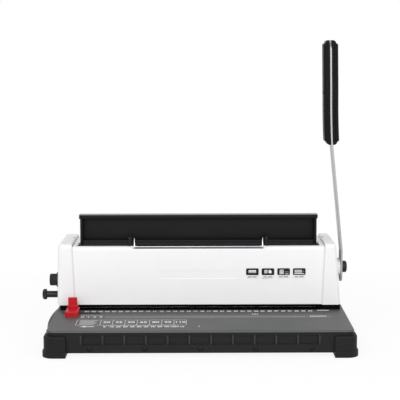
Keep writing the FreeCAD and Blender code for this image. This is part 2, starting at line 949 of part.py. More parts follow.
def housing_body(bottom, top, inset, rear, x_low, x_high):
    body = prism_x(side_outline(bottom, top, inset, rear), x_low, x_high)

    def along(box):
        return box.XLength > 1.0 and box.YLength < 0.01 and box.ZLength < 0.01

    body = rounded(body, max(cover_round - inset, 0.6), lambda box: along(box)
                   and near(box.YMin, inset) and near(box.ZMin, top - inset))
    return rounded(body, max(roof_round - inset, 1.0), lambda box: along(box)
                   and box.YMin > deck_split and box.ZMin > bottom + 1.0)


def roof_screw_x(side):
    return row_x + side * (half_at(cap_top) + seam_gap + roof_head + contact_gap)


# Side frames

def make_side_frame(side):
    """One steel side frame; its foot and its roof tab turn outwards."""
    inner = row_x + side * frame_inner
    outer = row_x + side * frame_outer
    plate = prism_x(side_outline(table_top, cover_top, frame_inset, rear_face), inner, outer)
    top_block = block(inner, outer, frame_inset, frame_flat_back, table_top, deck_low)
    leg = block(inner, outer, die_front, die_back, table_top - die_thick, table_top)
    foot = block(outer, outer + side * frame_foot_wide, frame_foot_front,
                 rear_face - frame_inset, table_top, table_top + frame_foot_thick)
    tab = block(outer, roof_screw_x(side) + side * tab_over, roof_screw_y - tab_wide / 2.0,
                roof_screw_y + tab_wide / 2.0, tab_top - tab_thick, tab_top)
    low = row_x - frame_outer - spare
    high = row_x + frame_outer + spare
    tools = [rod_x(bush_seat, low, high, shaft_y, shaft_z),
             rod_x(frame_screw, low, high, tie_rod_y, tie_rod_z),
             rod_x(frame_screw, low, high, tie_bar_y, tie_bar_z),
             rod_z(small_core, tab_top - spare / 4.0, deck_low, roof_screw_x(side),
                   roof_screw_y)]
    for y, z in tool_screw_places():
        tools.append(rod_x(frame_screw, low, high, y, z))
        tools.append(rod_x(small_head + head_play, outer - side * small_head_long,
                           outer + side * spare, y, z))
    tools += [rod_z(small_core, table_top - 1.0, table_top + spare / 4.0, x, y)
              for x, y in foot_screw_places()]
    if side < 0:
        tools.append(rod_x(selector_radius + running_play, low, row_x, selector_y,
                           selector_z))
        tools.append(rod_x(margin_rod_radius + running_play, low, row_x, margin_rod_y,
                           margin_rod_z))
    return joined([plate, top_block, leg, foot, tab]).cut(tools)


def tie_screw_bores(y, z):
    return [rod_x(frame_screw, x - frame_screw_long, x + frame_screw_long, y, z)
            for x in both_sides([frame_inner])]


def make_tie_rod():
    return rod_x(tie_radius, row_x - frame_inner, row_x + frame_inner, tie_rod_y,
                 tie_rod_z).cut(tie_screw_bores(tie_rod_y, tie_rod_z))


def make_tie_bar():
    body = block(row_x - frame_inner, row_x + frame_inner, tie_bar_back - tie_bar_thick,
                 tie_bar_back, tie_bar_low, tie_bar_low + tie_bar_high)
    tools = [rod_y(small_core, tie_bar_back - tie_bar_thick - 1.0, tie_bar_back + 1.0, x,
                   tie_bar_z) for x in both_sides(rear_screw_x)]
    return body.cut(tools + tie_screw_bores(tie_bar_y, tie_bar_z))


def make_frame_screws():
    screws = []
    for side in (-1, 1):
        outer = row_x + side * frame_outer
        tip = row_x + side * (frame_inner - frame_screw_long)
        for y, z in ((tie_rod_y, tie_rod_z), (tie_bar_y, tie_bar_z)):
            head = rod_x(frame_head, outer, outer + side * frame_head_long, y, z)
            screws.append(joined([head, rod_x(frame_screw, tip, outer, y, z)]))
        for y, z in tool_screw_places():
            seat = outer - side * small_head_long
            head = rod_x(small_head, seat, outer, y, z)
            screws.append(joined([head, rod_x(frame_screw, tip, seat, y, z)]))
    return screws


def make_foot_screws():
    screws = []
    seat = table_top + frame_foot_thick
    for x, y in foot_screw_places():
        head = rod_z(small_head, seat, seat + small_head_long, x, y)
        shank = rod_z(small_core, table_under - small_head_long, seat, x, y)
        screws.append(joined([head, shank]))
    return screws


def make_bush(side):
    """A flanged bush for the main shaft, its flange outside the frame."""
    inner = row_x + side * frame_inner
    outer = row_x + side * frame_outer
    rim = outer + side * bush_flange
    body = joined([rod_x(bush_seat, inner, outer, shaft_y, shaft_z),
                   rod_x(bush_seat + bush_rim, outer, rim, shaft_y, shaft_z)])
    return body.cut(rod_x(shaft_radius + running_play, inner - side, rim + side, shaft_y,
                          shaft_z))


# Main shaft and handle

def make_main_shaft():
    """The shaft, with the punch drive's teeth cut into it and a square tongue at its end."""
    left = row_x - frame_outer - bush_flange - ring_gap - ring_thick - 1.0
    half = tongue_size / 2.0
    outline = pinion_outline(punch_pitch_radius, punch_teeth)
    parts = [rod_x(shaft_radius, left, bar_inner, shaft_y, shaft_z)]
    gaps = []
    for x in both_sides([punch_rack_x]):
        start = x - gear_width / 2.0
        teeth = prism_x(outline, start, start + gear_width)
        parts.append(teeth)
        gaps.append(rod_x(shaft_radius + punch_module, start, start + gear_width, shaft_y,
                          shaft_z).cut(teeth))
    tongue = block(bar_inner - 1.0, bar_outer - running_play, shaft_y - half, shaft_y + half,
                   shaft_z - half, shaft_z + half)
    body = joined([joined(parts).cut(gaps), tongue])
    return body.cut(rod_x(bolt_radius, bar_inner - bolt_long - 1.0, bar_outer + 1.0, shaft_y,
                          shaft_z))


def make_shaft_rings():
    """Retaining rings on the shaft, outside the bushes."""
    rings = []
    for side in (-1, 1):
        start = row_x + side * (frame_outer + bush_flange + ring_gap)
        end = start + side * ring_thick
        ring = rod_x(shaft_radius + ring_rim, start, end, shaft_y, shaft_z)
        rings.append(ring.cut(rod_x(shaft_radius, start - side, end + side, shaft_y,
                                    shaft_z)))
    return rings


def make_shaft_collar():
    """The ring that fills the gap between the right cap and the handle bar."""
    radius = shaft_radius + collar_wall
    left = cap_side_x(shaft_z - radius, 0.0) + contact_gap
    ring = rod_x(radius, left, bar_inner, shaft_y, shaft_z)
    return ring.cut(rod_x(shaft_radius, left - 1.0, bar_inner + 1.0, shaft_y, shaft_z))


def bar_middle_x(z):
    """Where the bent bar's middle lies in X at a height."""
    foot = bar_inner + bar_thick / 2.0
    if z <= bend_z:
        return foot
    if z <= grip_foot_z:
        return foot + (grip_foot_x - foot) * (z - bend_z) / (grip_foot_z - bend_z)
    left = max(bow_z - z, 0.0) / (bow_z - grip_foot_z)
    return bar_top_x + (grip_foot_x - bar_top_x) * left * left


def bowed_side(shift, top):
    """The bar's line in the grip, moved in X: an arc from the grip's foot, then upright."""
    places = [(bar_middle_x(z) + shift, z)
              for z in (grip_foot_z, (grip_foot_z + bow_z) / 2.0, bow_z, top)]
    foot, middle, bend, head = [vec(x, 0, z) for x, z in places]
    return [Part.Arc(foot, middle, bend).toShape(), Part.makeLine(bend, head)]


def bowed_slab(near_shift, far_shift, top, below, front, wide):
    """A slab along the bowed line between two shifts in X, with what is below it."""
    first = bowed_side(near_shift, top)
    last = bowed_side(far_shift, top)
    start = first[0].Vertexes[0].Point
    end = last[0].Vertexes[0].Point
    path = [start] + [vec(x, 0, z) for x, z in below] + [end]
    edges = [Part.makeLine(a, b) for a, b in zip(path, path[1:])]
    edges.append(Part.makeLine(first[1].Vertexes[1].Point, last[1].Vertexes[1].Point))
    face = Part.Face(Part.Wire(Part.__sortEdges__(first + last + edges)))
    face.translate(vec(0, front, 0))
    return face.extrude(vec(0, wide, 0))


def rivet_heights():
    foot = handle_top - grip_long
    return [foot + grip_long * share for share in (0.15, 0.5, 0.85)]


def rivet_bores():
    return [rod_x(rivet_radius, bar_top_x - spare, bar_outer + spare, shaft_y, z)
            for z in rivet_heights()]


def make_handle_bar():
    top = handle_top - bar_top_cover
    half = bar_thick / 2.0
    below = [(bar_middle_x(z) - half, z) for z in (bend_z, bar_low)]
    below += [(bar_middle_x(z) + half, z) for z in (bar_low, bend_z)]
    front = shaft_y - bar_wide / 2.0
    strip = bowed_slab(-half, half, top, below, front, bar_wide)
    ends = block(bar_top_x - spare, bar_outer + spare, front, front + bar_wide, bar_low, top)
    ends = rounded(ends, bar_wide / 2.0 - 0.1, lambda box: box.XLength > spare)
    half = tongue_size / 2.0
    hole = block(bar_inner - 1.0, bar_outer + 1.0, shaft_y - half, shaft_y + half,
                 shaft_z - half, shaft_z + half)
    return strip.common(ends).cut([hole] + rivet_bores())


def make_grip_half(side):
    """One half of the grip: a thin tang against the bar and a thick pad on its outside."""
    seat = side * bar_thick / 2.0

    def slab(near_shift, far_shift, wide, radius, end_radius, inset):
        body = bowed_slab(side * near_shift + seat, side * far_shift + seat, handle_top, [],
                          shaft_y - wide / 2.0, wide)
        zone = block(bar_top_x - spare, bar_outer + spare, shaft_y - spare, shaft_y + spare,
                     grip_foot_z + inset, handle_top - inset)
        body = body.common(zone)
        reach = [bar_middle_x(z) + seat + side * far_shift for z in (grip_foot_z + inset,
                                                                     handle_top)]

        def outside(box):
            return any(abs(end - x) < 0.2 for end in (box.XMin, box.XMax) for x in reach)

        def along(box):
            return outside(box) and box.ZLength > 1.0

        def across(box):
            return outside(box) and box.ZLength < 0.1 and box.YLength > 1.0

        first, last = (radius, along), (end_radius, across)
        if end_radius > radius:
            first, last = last, first
        return rounded(rounded(body, *first), *last)

    tang = slab(0.0, tang_thick, tang_wide, grip_end_round, tang_end_round, 0.0)
    pad = slab(tang_thick / 2.0, grip_thick, grip_wide, grip_round, grip_end_round, pad_inset)
    return tang.fuse(pad).removeSplitter().cut(rivet_bores())


def make_grip_rivets():
    reach = bar_thick / 2.0 + grip_thick - running_play
    return [rod_x(rivet_radius, bar_middle_x(z) - reach, bar_middle_x(z) + reach, shaft_y, z)
            for z in rivet_heights()]


def make_pivot_bolt():
    shank = rod_x(bolt_radius, bar_inner - bolt_long, bar_outer, shaft_y, shaft_z)
    head = rod_x(bolt_head_radius, bar_outer, bar_outer + bolt_head_long, shaft_y, shaft_z)
    return joined([shank, head])


def make_pivot_cap():
    right = bar_outer + pivot_cap_long
    outer = rod_x(pivot_cap_radius, bar_outer, right, shaft_y, shaft_z)
    outer = rounded(outer, pivot_cap_round, lambda box: near(box.XMin, right))
    return outer.cut(rod_x(pivot_cap_radius - pivot_cap_wall, bar_outer - 1.0,
                           right - pivot_cap_wall, shaft_y, shaft_z))


# Wire closer

def make_closer_jaw():
    """The moving channel: top flange with a lip, web, two cheeks and two legs."""
    low = row_x - closer_half
    high = row_x + closer_half
    web_foot = cover_top - web_drop
    parts = [block(low - flange_over, high + flange_over, closer_front, closer_back,
                   closer_under, closer_top),
             block(low - flange_over, high + flange_over, closer_front,
                   closer_front + lip_thick, closer_top - lip_high, closer_top),
             block(low, high, closer_back - closer_sheet, closer_back, web_foot, closer_top)]
    for x in (low, high - cheek_thick):
        parts.append(block(x, x + cheek_thick, cheek_front, closer_back, stop_foot,
                           closer_top - closer_edge_round))
    for x in both_sides([closer_rack_x]):
        parts.append(block(x - leg_width / 2.0, x + leg_width / 2.0,
                           closer_back - closer_sheet, closer_back, shaft_z - leg_drop,
                           web_foot + 1.0))
    return rounded(joined(parts), closer_edge_round, lambda box: box.XLength > closer_half
                   and near(box.ZMin, closer_top))


def make_rack_screws():
    """Low screw heads that hold the closer's racks to its legs."""
    front = closer_back - closer_sheet - roof_head_long
    return [rod_y(small_head, front, closer_back - closer_sheet, x, z)
            for x in both_sides([closer_rack_x]) for z in (shaft_z, shaft_z + leg_width)]


def closer_slot(z_low, z_high, play):
    """The opening in plan that the web and both cheeks pass through."""
    low = row_x - closer_half - play
    high = row_x + closer_half + play
    parts = [block(low, high, closer_back - closer_sheet - play, closer_back + play, z_low,
                   z_high)]
    wide = cheek_thick + 2.0 * play
    for x in (low, high - wide):
        parts.append(block(x, x + wide, cheek_front - play, closer_back + play, z_low, z_high))
    return joined(parts)


def boss_places():
    return [row_x - boss_x, row_x, row_x + boss_x]


def ear_places():
    reach = bail_radius + ear_gap
    return [bail_left - reach - ear_thick, bail_right + reach]


def make_lower_jaw():
    """The fixed jaw with its surround, bosses and the bail's two ears."""
    low = row_x - closer_half
    high = row_x + closer_half
    surround = block(low - surround_side, high + surround_side, closer_front - surround_front,
                     closer_back + surround_back, cover_top, surround_top)
    surround = surround.cut(closer_slot(cover_top - 1.0, surround_top + 1.0,
                                        closer_slot_play))
    inner = cheek_thick + closer_slot_play + jaw_side_gap
    back = closer_back - closer_sheet - closer_slot_play
    jaw = block(low + inner, high - inner, closer_front, back, cover_top, jaw_top)
    jaw = bevelled(jaw, jaw_bevel, lambda box: near(box.ZMin, jaw_top)
                   and box.XLength > 1.0)
    groove = block(low, high, closer_front - 1.0, closer_front + jaw_groove,
                   cover_top + groove_rise, cover_top + groove_rise + groove_high)
    parts = [surround, jaw.cut(groove)]
    for x in boss_places():
        parts.append(rod_z(boss_radius, jaw_beam_top, cover_top + 1.0, x, punch_line))
    for x in ear_places():
        parts.append(rod_x(ear_radius, x, x + ear_thick, bail_pivot_y, bail_pivot_z))
        parts.append(block(x, x + ear_thick, bail_pivot_y - ear_radius,
                           closer_front + jaw_groove / 2.0, surround_top,
                           bail_pivot_z - bail_tip_radius))
    body = joined(parts)
    return body.cut([rod_x(bail_tip_radius + bail_play, x - 1.0, x + ear_thick + 1.0,
                           bail_pivot_y, bail_pivot_z) for x in ear_places()])


def make_jaw_beam():
    """The angle bar under the deck that carries the lower jaw between the frames."""
    low = row_x - frame_inner
    high = row_x + frame_inner
    under = jaw_beam_top - jaw_beam_thick
    leg = block(low, high, frame_inset, frame_inset + jaw_beam_thick,
                jaw_beam_top - jaw_beam_leg, jaw_beam_top)
    shelf = block(low + shelf_inset, high - shelf_inset, frame_inset, jaw_beam_back, under,
                  jaw_beam_top)
    pegs = [rod_z(peg_radius, under - peg_high, under, x, punch_line)
            for x in both_sides([spring_x])]
    return joined([leg, shelf] + pegs)


# Bail and springs

def make_wire_bail():
    """The holder: a long crossbar, two arms that taper upwards and two pins into the ears."""
    parts = [rod_x(bail_radius, bail_left, bail_right, bail_rest_y, bail_rest_z)]
    for x, side in ((bail_left, -1), (bail_right, 1)):
        foot = vec(x, bail_rest_y, bail_rest_z)
        arm = vec(x, bail_pivot_y, bail_pivot_z) - foot
        parts += [Part.makeSphere(bail_radius, foot),
                  Part.makeCone(bail_radius, bail_tip_radius, arm.Length, foot, arm),
                  Part.makeSphere(bail_tip_radius, foot + arm),
                  rod_x(bail_tip_radius, x, x + side * bail_hook, bail_pivot_y, bail_pivot_z)]
    return joined(parts)


def arc_between(start, corner, end):
    """An arc that leaves the start and meets the end along lines through the corner."""
    chord = (start + end) * 0.5
    half = (end - start).Length / 2.0
    rise = (corner - chord).Length
    middle = chord + (corner - chord) * (half * math.tan(math.atan2(rise, half) / 2.0) / rise)
    return Part.Arc(start, middle, end).toShape()


def two_arcs(start, leaving, end, arriving):
    """Two arcs from start to end with the given unit directions at both ends."""
    span = end - start
    both = leaving + arriving
    spread = 2.0 * (1.0 - leaving.dot(arriving))
    lean = span.dot(both)
    reach = (math.sqrt(lean * lean + spread * span.dot(span)) - lean) / spread
    first = start + leaving * reach
    second = end - arriving * reach
    middle = (first + second) * 0.5
    return [arc_between(start, first, middle), arc_between(middle, second, end)]


def coil(radius, wire, turns, high):
    """A coil of round wire about Z, from zero up to a height, in quarter turns."""
    rise = high / turns
    climb = math.atan2(rise, 2.0 * math.pi * radius)

    def place(turn):
        angle = 2.0 * math.pi * turn
        return vec(radius * math.cos(angle), radius * math.sin(angle), rise * turn)

    def heading(turn):
        angle = 2.0 * math.pi * turn
        return vec(-math.sin(angle) * math.cos(climb), math.cos(angle) * math.cos(climb),
                   math.sin(climb))

    edges = []
    for index in range(4 * turns):
        start = index / 4.0
        edges += two_arcs(place(start), heading(start), place(start + 0.25),
                          heading(start + 0.25))
    path = Part.Wire(edges)
    section = Part.Wire(Part.Circle(place(0.0), heading(0.0), wire).toShape())
    body = path.makePipeShell([section], True, False)
    expected = math.pi * wire * wire * path.Length
    print("coil: least gap", round(rise * math.cos(climb) - 2.0 * wire, 2), "mm, volume",
          round(body.Volume, 1), "for", round(expected, 1), "mm3")
    return body


def make_return_springs():
    """Two pull springs between the jaw beam and the punch beam."""
    springs = []
    low = beam_top + spring_wire + running_play
    high = jaw_beam_top - jaw_beam_thick - spring_wire - running_play
    for x in both_sides([spring_x]):
        body = coil(spring_radius, spring_wire, spring_turns, high - low)
        body.translate(vec(x, punch_line, low))
        springs.append(body)
    return springs


# Housing shells

def cap_side_x(z, inset):
    """The right cap's outer side leans in towards the top."""
    share = (z - sill_top) / (cap_top - sill_top)
    return cap_right_low - cap_lean * share - inset


def lean_cut(inset):
    """Cuts away what is outside the right cap's leaning side."""
    low = table_top
    high = cap_top + spare
    outline = [(cap_side_x(low, inset), low), (cap_right_low + spare, low),
               (cap_right_low + spare, high), (cap_side_x(high, inset), high)]
    return prism_y(outline, -spare, housing_depth + spare)


def make_end_cap(side):
    reach = row_x + side * (cover_half_low - 2.0 * cap_lip)
    outside = cap_left if side < 0 else cap_right_low
    outer = housing_body(sill_top, cap_top, 0.0, housing_depth, reach, outside)
    if side > 0:
        outer = outer.cut(lean_cut(0.0))

    def on_side(box):
        lean = cap_lean if side > 0 else 0.0
        far = abs(outside) - lean - 0.1
        return min(abs(box.XMin), abs(box.XMax)) > far and box.ZMax > sill_top + 1.0

    outer = rounded(outer, cap_side_round, on_side).cut(seam_wedge(seam_gap))
    inner = housing_body(sill_top - 1.0, cap_top, cap_wall, housing_depth,
                         reach - side * spare, outside - side * cap_wall)
    if side > 0:
        inner = inner.cut(lean_cut(cap_wall))
    shell = outer.cut(inner)
    lip_inset = cover_wall + contact_gap
    lip_core = housing_body(sill_top - 1.0, cover_top, lip_inset + lip_wall, rear_face,
                            reach - side, outside + side)
    lip = housing_body(sill_top, cover_top, lip_inset, rear_face, reach, outside)
    lip = lip.common(seam_wedge(seam_gap + 1.0)).cut([lip_core, seam_wedge(-cap_lip)])
    flange = housing_body(sill_top, cap_top, cap_wall - 0.1, housing_depth, reach, outside)
    flange = flange.common(seam_wedge(seam_gap + lip_flange))
    flange = flange.cut([lip_core, seam_wedge(seam_gap)])
    boss = rod_z(roof_boss, tab_top, cap_top - 1.0, roof_screw_x(side), roof_screw_y)
    boss = boss.cut(seam_wedge(seam_gap))
    return joined([shell, lip, flange, boss]).cut(cap_holes(side))


def cap_holes(side):
    x = roof_screw_x(side)
    tools = [rod_z(roof_head + head_play, cap_top - roof_head_long, cap_top + 1.0, x,
                   roof_screw_y),
             rod_z(small_screw, tab_top - 1.0, cap_top + 1.0, x, roof_screw_y)]
    if side > 0:
        tools.append(rod_x(shaft_radius + contact_gap, row_x + frame_outer, bar_outer,
                           shaft_y, shaft_z))
        return tools
    for radius, y, z in ((selector_radius, selector_y, selector_z),
                         (margin_rod_radius, margin_rod_y, margin_rod_z)):
        tools.append(rod_x(radius + running_play, cap_left - 1.0, row_x - frame_outer, y, z))
    return tools


def make_roof_screws():
    screws = []
    seat = cap_top - roof_head_long
    for side in (-1, 1):
        x = roof_screw_x(side)
        head = rod_z(roof_head, seat, cap_top, x, roof_screw_y)
        socket = rod_z(roof_head * socket_share, cap_top - 1.0, cap_top + 1.0, x,
                       roof_screw_y)
        shank = rod_z(small_core, tab_top - tab_thick - 1.0, seat, x, roof_screw_y)
        screws.append(joined([head, shank]).cut(socket))
    return screws


def make_housing_sill(side):
    """The dark ledge under an end cap, round the side frame's foot."""
    inner = row_x + side * (cover_half_low + contact_gap)
    toe = row_x + side * (frame_outer + frame_foot_wide + contact_gap)
    body = block(inner, side * sill_outer, sill_front, housing_depth - 1.0, table_top,
                 sill_top)
    foot = block(inner - side, toe, frame_foot_front - contact_gap,
                 rear_face - frame_inset + contact_gap, table_top - 1.0, sill_top + 1.0)
    return body.cut(foot)


def badge_shapes(y_low, y_high, grow):
    plates = []
    for index in range(badge_count):
        left = badge_first + badge_pitch * index
        plate = block(left - grow, left + badge_width + grow, y_low, y_high,
                      strip_low - grow, strip_low + badge_high + grow)
        plates.append(rounded(plate, badge_round + grow, lambda box: box.YLength > 0.1
                              and box.XLength < 0.01 and box.ZLength < 0.01))
    return plates


def make_front_cover():
    outline = [(0.0, cover_bottom), (cover_wall, cover_bottom), (cover_wall, deck_low),
               (deck_split, deck_low), (deck_split, cover_top), (0.0, cover_top)]
    body = prism_x(outline, row_x - cover_half_high - spare, row_x + cover_half_high + spare)
    body = rounded(body, cover_round, lambda box: box.XLength > 1.0
                   and near(box.YMin, 0.0) and near(box.ZMin, cover_top))
    floor = cover_top - notch_deep
    rib = block(notch_left - notch_deep, notch_right + notch_deep, cover_wall,
                notch_back + cover_wall, floor - cover_wall, deck_low + 1.0)
    notch = prism_y([(notch_left, cover_top + 1.0), (notch_left, cover_top),
                     (notch_left + notch_deep, floor), (notch_right - notch_deep, floor),
                     (notch_right, cover_top), (notch_right, cover_top + 1.0)],
                    -1.0, notch_back)
    tools = [notch, closer_slot(deck_low - 1.0, cover_top + 1.0, deck_slot_play),
             block(strip_left, strip_right, -1.0, strip_deep, strip_low,
                   strip_low + strip_high)]
    tools += [rod_z(boss_radius + contact_gap, deck_low - 1.0, cover_top + 1.0, x,
                    punch_line) for x in boss_places()]
    tools += badge_shapes(-1.0, badge_thick - badge_proud, badge_fit)
    return joined([body, rib]).cut(tools).common(seam_wedge(0.0))


def make_badges():
    return badge_shapes(-badge_proud, badge_thick - badge_proud, 0.0)


def make_rear_cover():
    x_low = row_x - cover_half_high - spare
    x_high = row_x + cover_half_high + spare
    low = table_top + contact_gap
    front = deck_split + split_gap
    outer = housing_body(low, cover_top, 0.0, rear_face, x_low, x_high)
    inner = housing_body(low - 1.0, cover_top, cover_wall, rear_face, x_low, x_high)
    body = outer.cut([inner, block(x_low, x_high, -1.0, front, low - 1.0, cover_top + 1.0)])
    lap_top = deck_low - contact_gap
    lap_half = frame_inner - contact_gap
    lap = block(row_x - lap_half, row_x + lap_half, deck_split - lap_long,
                front + lap_long, lap_top - lap_thick, lap_top)
    riser = block(row_x - lap_half, row_x + lap_half, front, front + lap_long,
                  lap_top - 0.1, deck_low + 0.1)
    tools = [rod_y(small_screw, rear_face - spare / 4.0, rear_face + 1.0, x, tie_bar_z)
             for x in both_sides(rear_screw_x)]
    return joined([body, lap, riser]).cut(tools).common(seam_wedge(0.0))


def make_rear_screws():
    screws = []
    for x in both_sides(rear_screw_x):
        head = rod_y(small_head, rear_face, rear_face + rear_head_long, x, tie_bar_z)
        shank = rod_y(small_core, tie_bar_y, rear_face, x, tie_bar_z)
        screws.append(joined([head, shank]))
    return screws


# Size selector

def make_selector_knob():
    body = rod_x(knob_radius, knob_left, knob_right, selector_y, selector_z)
    tools = []
    for index in range(knob_grooves):
        angle = 2.0 * math.pi * index / knob_grooves
        tools.append(rod_x(groove_radius, knob_left - 1.0, knob_right - groove_radius,
                           selector_y + knob_radius * math.cos(angle),
                           selector_z + knob_radius * math.sin(angle)))
    body = bevelled(body, groove_radius, lambda box: near(box.XMax, knob_left)).cut(tools)
    flange = rod_x(knob_flange_radius, knob_right, knob_right + knob_flange_long, selector_y,
                   selector_z)
    bore = rod_x(selector_radius, knob_left + knob_bore_wall, cap_left, selector_y,
                 selector_z)
    return joined([body, flange]).cut(bore)


def make_selector_shaft():
    return rod_x(selector_radius, knob_left + knob_bore_wall, cam_right + cam_shaft_end,
                 selector_y, selector_z)


def make_selector_cam():
    """A cam in four quarters, each a step larger, that limit how far the jaw closes."""
    parts = [rod_x(cam_small, cam_left, cam_right, selector_y, selector_z)]
    reach = 2.0 * cam_large
    for index in range(1, 4):
        middle = math.pi / 2.0 - index * math.pi / 2.0
        corners = [(selector_y, selector_z)]
        for edge in (middle - math.pi / 4.0, middle + math.pi / 4.0):
            corners.append((selector_y + reach * math.cos(edge),
                            selector_z + reach * math.sin(edge)))
        disc = rod_x(cam_small + cam_step * index, cam_left, cam_right, selector_y,
                     selector_z)
        parts.append(disc.common(prism_x(corners, cam_left, cam_right)))
    return joined(parts).cut(rod_x(selector_radius, cam_left - 1.0, cam_right + 1.0,
                                   selector_y, selector_z))


os.makedirs("parts", exist_ok=True)

save("base_tray", make_base_tray())
save("bottom_plate", make_bottom_plate())
save("apron_screws", make_apron_screws())
save("floor_screws", make_floor_screws())
for name_y, side_y in (("front", -1), ("rear", 1)):
    for name_x, side_x in (("left", -1), ("right", 1)):
        save("corner_shoe_" + name_y + "_" + name_x, make_shoe(side_x, side_y))
save("work_table", make_work_table())
save("chip_drawer", make_chip_drawer())
save("drawer_grip", make_drawer_grip())
save("edge_guide", make_edge_guide())
save("edge_guide_clamp", make_edge_clamp())

save("die_plate", make_die_plate())
save("punch_guide", make_punch_guide())
save("punch_pins", make_punch_pins())
save("punch_beam", make_punch_beam())
save("pin_keeper", make_pin_keeper())
save("punch_racks", make_punch_racks())
save("return_springs", make_return_springs())
save("back_stop", make_back_stop())
save("margin_bar", make_margin_bar())
save("margin_rod", make_margin_rod())
save("margin_rod_head", make_margin_head())

for name, side in (("left", -1), ("right", 1)):
    save("side_frame_" + name, make_side_frame(side))
    save("shaft_bush_" + name, make_bush(side))
    save("end_cap_" + name, make_end_cap(side))
    save("housing_sill_" + name, make_housing_sill(side))
save("tie_rod", make_tie_rod())
save("tie_bar", make_tie_bar())
save("frame_screws", make_frame_screws())
save("foot_screws", make_foot_screws())
save("front_cover", make_front_cover())
save("rear_cover", make_rear_cover())
save("badges", make_badges())
save("roof_screws", make_roof_screws())
save("rear_screws", make_rear_screws())

save("main_shaft", make_main_shaft())
save("shaft_rings", make_shaft_rings())
save("shaft_collar", make_shaft_collar())
save("closer_pinions", make_closer_pinions())
save("handle_bar", make_handle_bar())
save("grip_half_inner", make_grip_half(-1))
save("grip_half_outer", make_grip_half(1))
save("grip_rivets", make_grip_rivets())
save("pivot_bolt", make_pivot_bolt())
save("pivot_cap", make_pivot_cap())

save("closer_jaw", make_closer_jaw())
save("closer_racks", make_closer_racks())
save("rack_screws", make_rack_screws())
save("lower_jaw", make_lower_jaw())
save("jaw_beam", make_jaw_beam())
save("wire_bail", make_wire_bail())
save("selector_knob", make_selector_knob())
save("selector_shaft", make_selector_shaft())
save("selector_cam", make_selector_cam())
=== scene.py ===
import json
import logging
import math
from collections.abc import Callable
from dataclasses import dataclass, field
from enum import Enum

import bmesh
import bpy
from bpy.types import Material, Mesh, Node, NodeSocket, NodeTree, Object, World
from mathutils import Euler, Matrix, Vector

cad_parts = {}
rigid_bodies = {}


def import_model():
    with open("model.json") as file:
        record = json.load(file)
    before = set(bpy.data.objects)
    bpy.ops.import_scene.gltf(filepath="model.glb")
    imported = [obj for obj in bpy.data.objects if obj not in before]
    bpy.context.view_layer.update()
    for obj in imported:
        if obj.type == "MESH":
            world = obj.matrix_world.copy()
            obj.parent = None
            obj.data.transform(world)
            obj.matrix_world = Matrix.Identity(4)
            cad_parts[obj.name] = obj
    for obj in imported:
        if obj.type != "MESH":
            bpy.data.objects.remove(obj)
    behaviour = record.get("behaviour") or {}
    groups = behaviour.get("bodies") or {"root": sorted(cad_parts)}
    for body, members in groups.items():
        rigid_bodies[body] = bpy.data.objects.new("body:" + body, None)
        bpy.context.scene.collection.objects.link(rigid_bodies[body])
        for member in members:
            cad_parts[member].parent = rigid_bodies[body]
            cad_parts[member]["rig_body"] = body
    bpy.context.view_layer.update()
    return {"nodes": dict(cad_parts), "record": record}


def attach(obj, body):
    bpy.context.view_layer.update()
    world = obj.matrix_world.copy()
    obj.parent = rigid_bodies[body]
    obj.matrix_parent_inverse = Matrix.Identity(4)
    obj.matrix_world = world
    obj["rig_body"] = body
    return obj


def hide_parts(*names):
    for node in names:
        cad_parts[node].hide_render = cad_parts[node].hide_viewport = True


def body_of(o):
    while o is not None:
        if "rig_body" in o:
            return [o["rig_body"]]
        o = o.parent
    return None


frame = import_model()

log = logging.getLogger("desk_machine")

# The drawing is in millimetres and the frame in metres; the drawing's zero lies here in the frame
MM = 1000
ZERO_X = 6.5
ZERO_Y = 2.0

# Heights and lines that several sub-assemblies share, in the drawing's millimetres
TABLE_TOP = 32.0
DECK_TOP = 112.9
CAP_TOP = 115.9
CAP_FOOT = 38.9
CAP_LEAN = 1.9
ROW_X = -2.0
HOLE_PITCH = 25.4 / 3
HOLE_COUNT = 34
SHAFT_Y = 42.0

# How round and how sharp things are drawn
TURN_STEPS = 40
CORNER_STEPS = 6
BEVEL_STEPS = 2
SHARP_ANGLE = 32.0
WIRE_ANGLE = 60.0

# The part of its range that most of a noise lies in, and how far roughness strays
NOISE_RANGE = {"From Min": 0.3, "From Max": 0.7}
ROUGH_SPREAD = 0.06

Pair = tuple[float, float]
Area = tuple[float, float, float, float]
Corner = tuple[float, float, float]
Span = tuple[Corner, Corner]
Outline = list[Pair]
WHITE = (1, 1, 1, 1)


def at(x: float, y: float, z: float) -> Vector:
    """Turns a place in the drawing, in millimetres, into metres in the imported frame."""
    return Vector(((x + ZERO_X) / MM, (y + ZERO_Y) / MM, z / MM))


def evenly(first: float, pitch: float, count: int) -> list[float]:
    """Gives numbers at an even pitch."""
    return [first + pitch * index for index in range(count)]


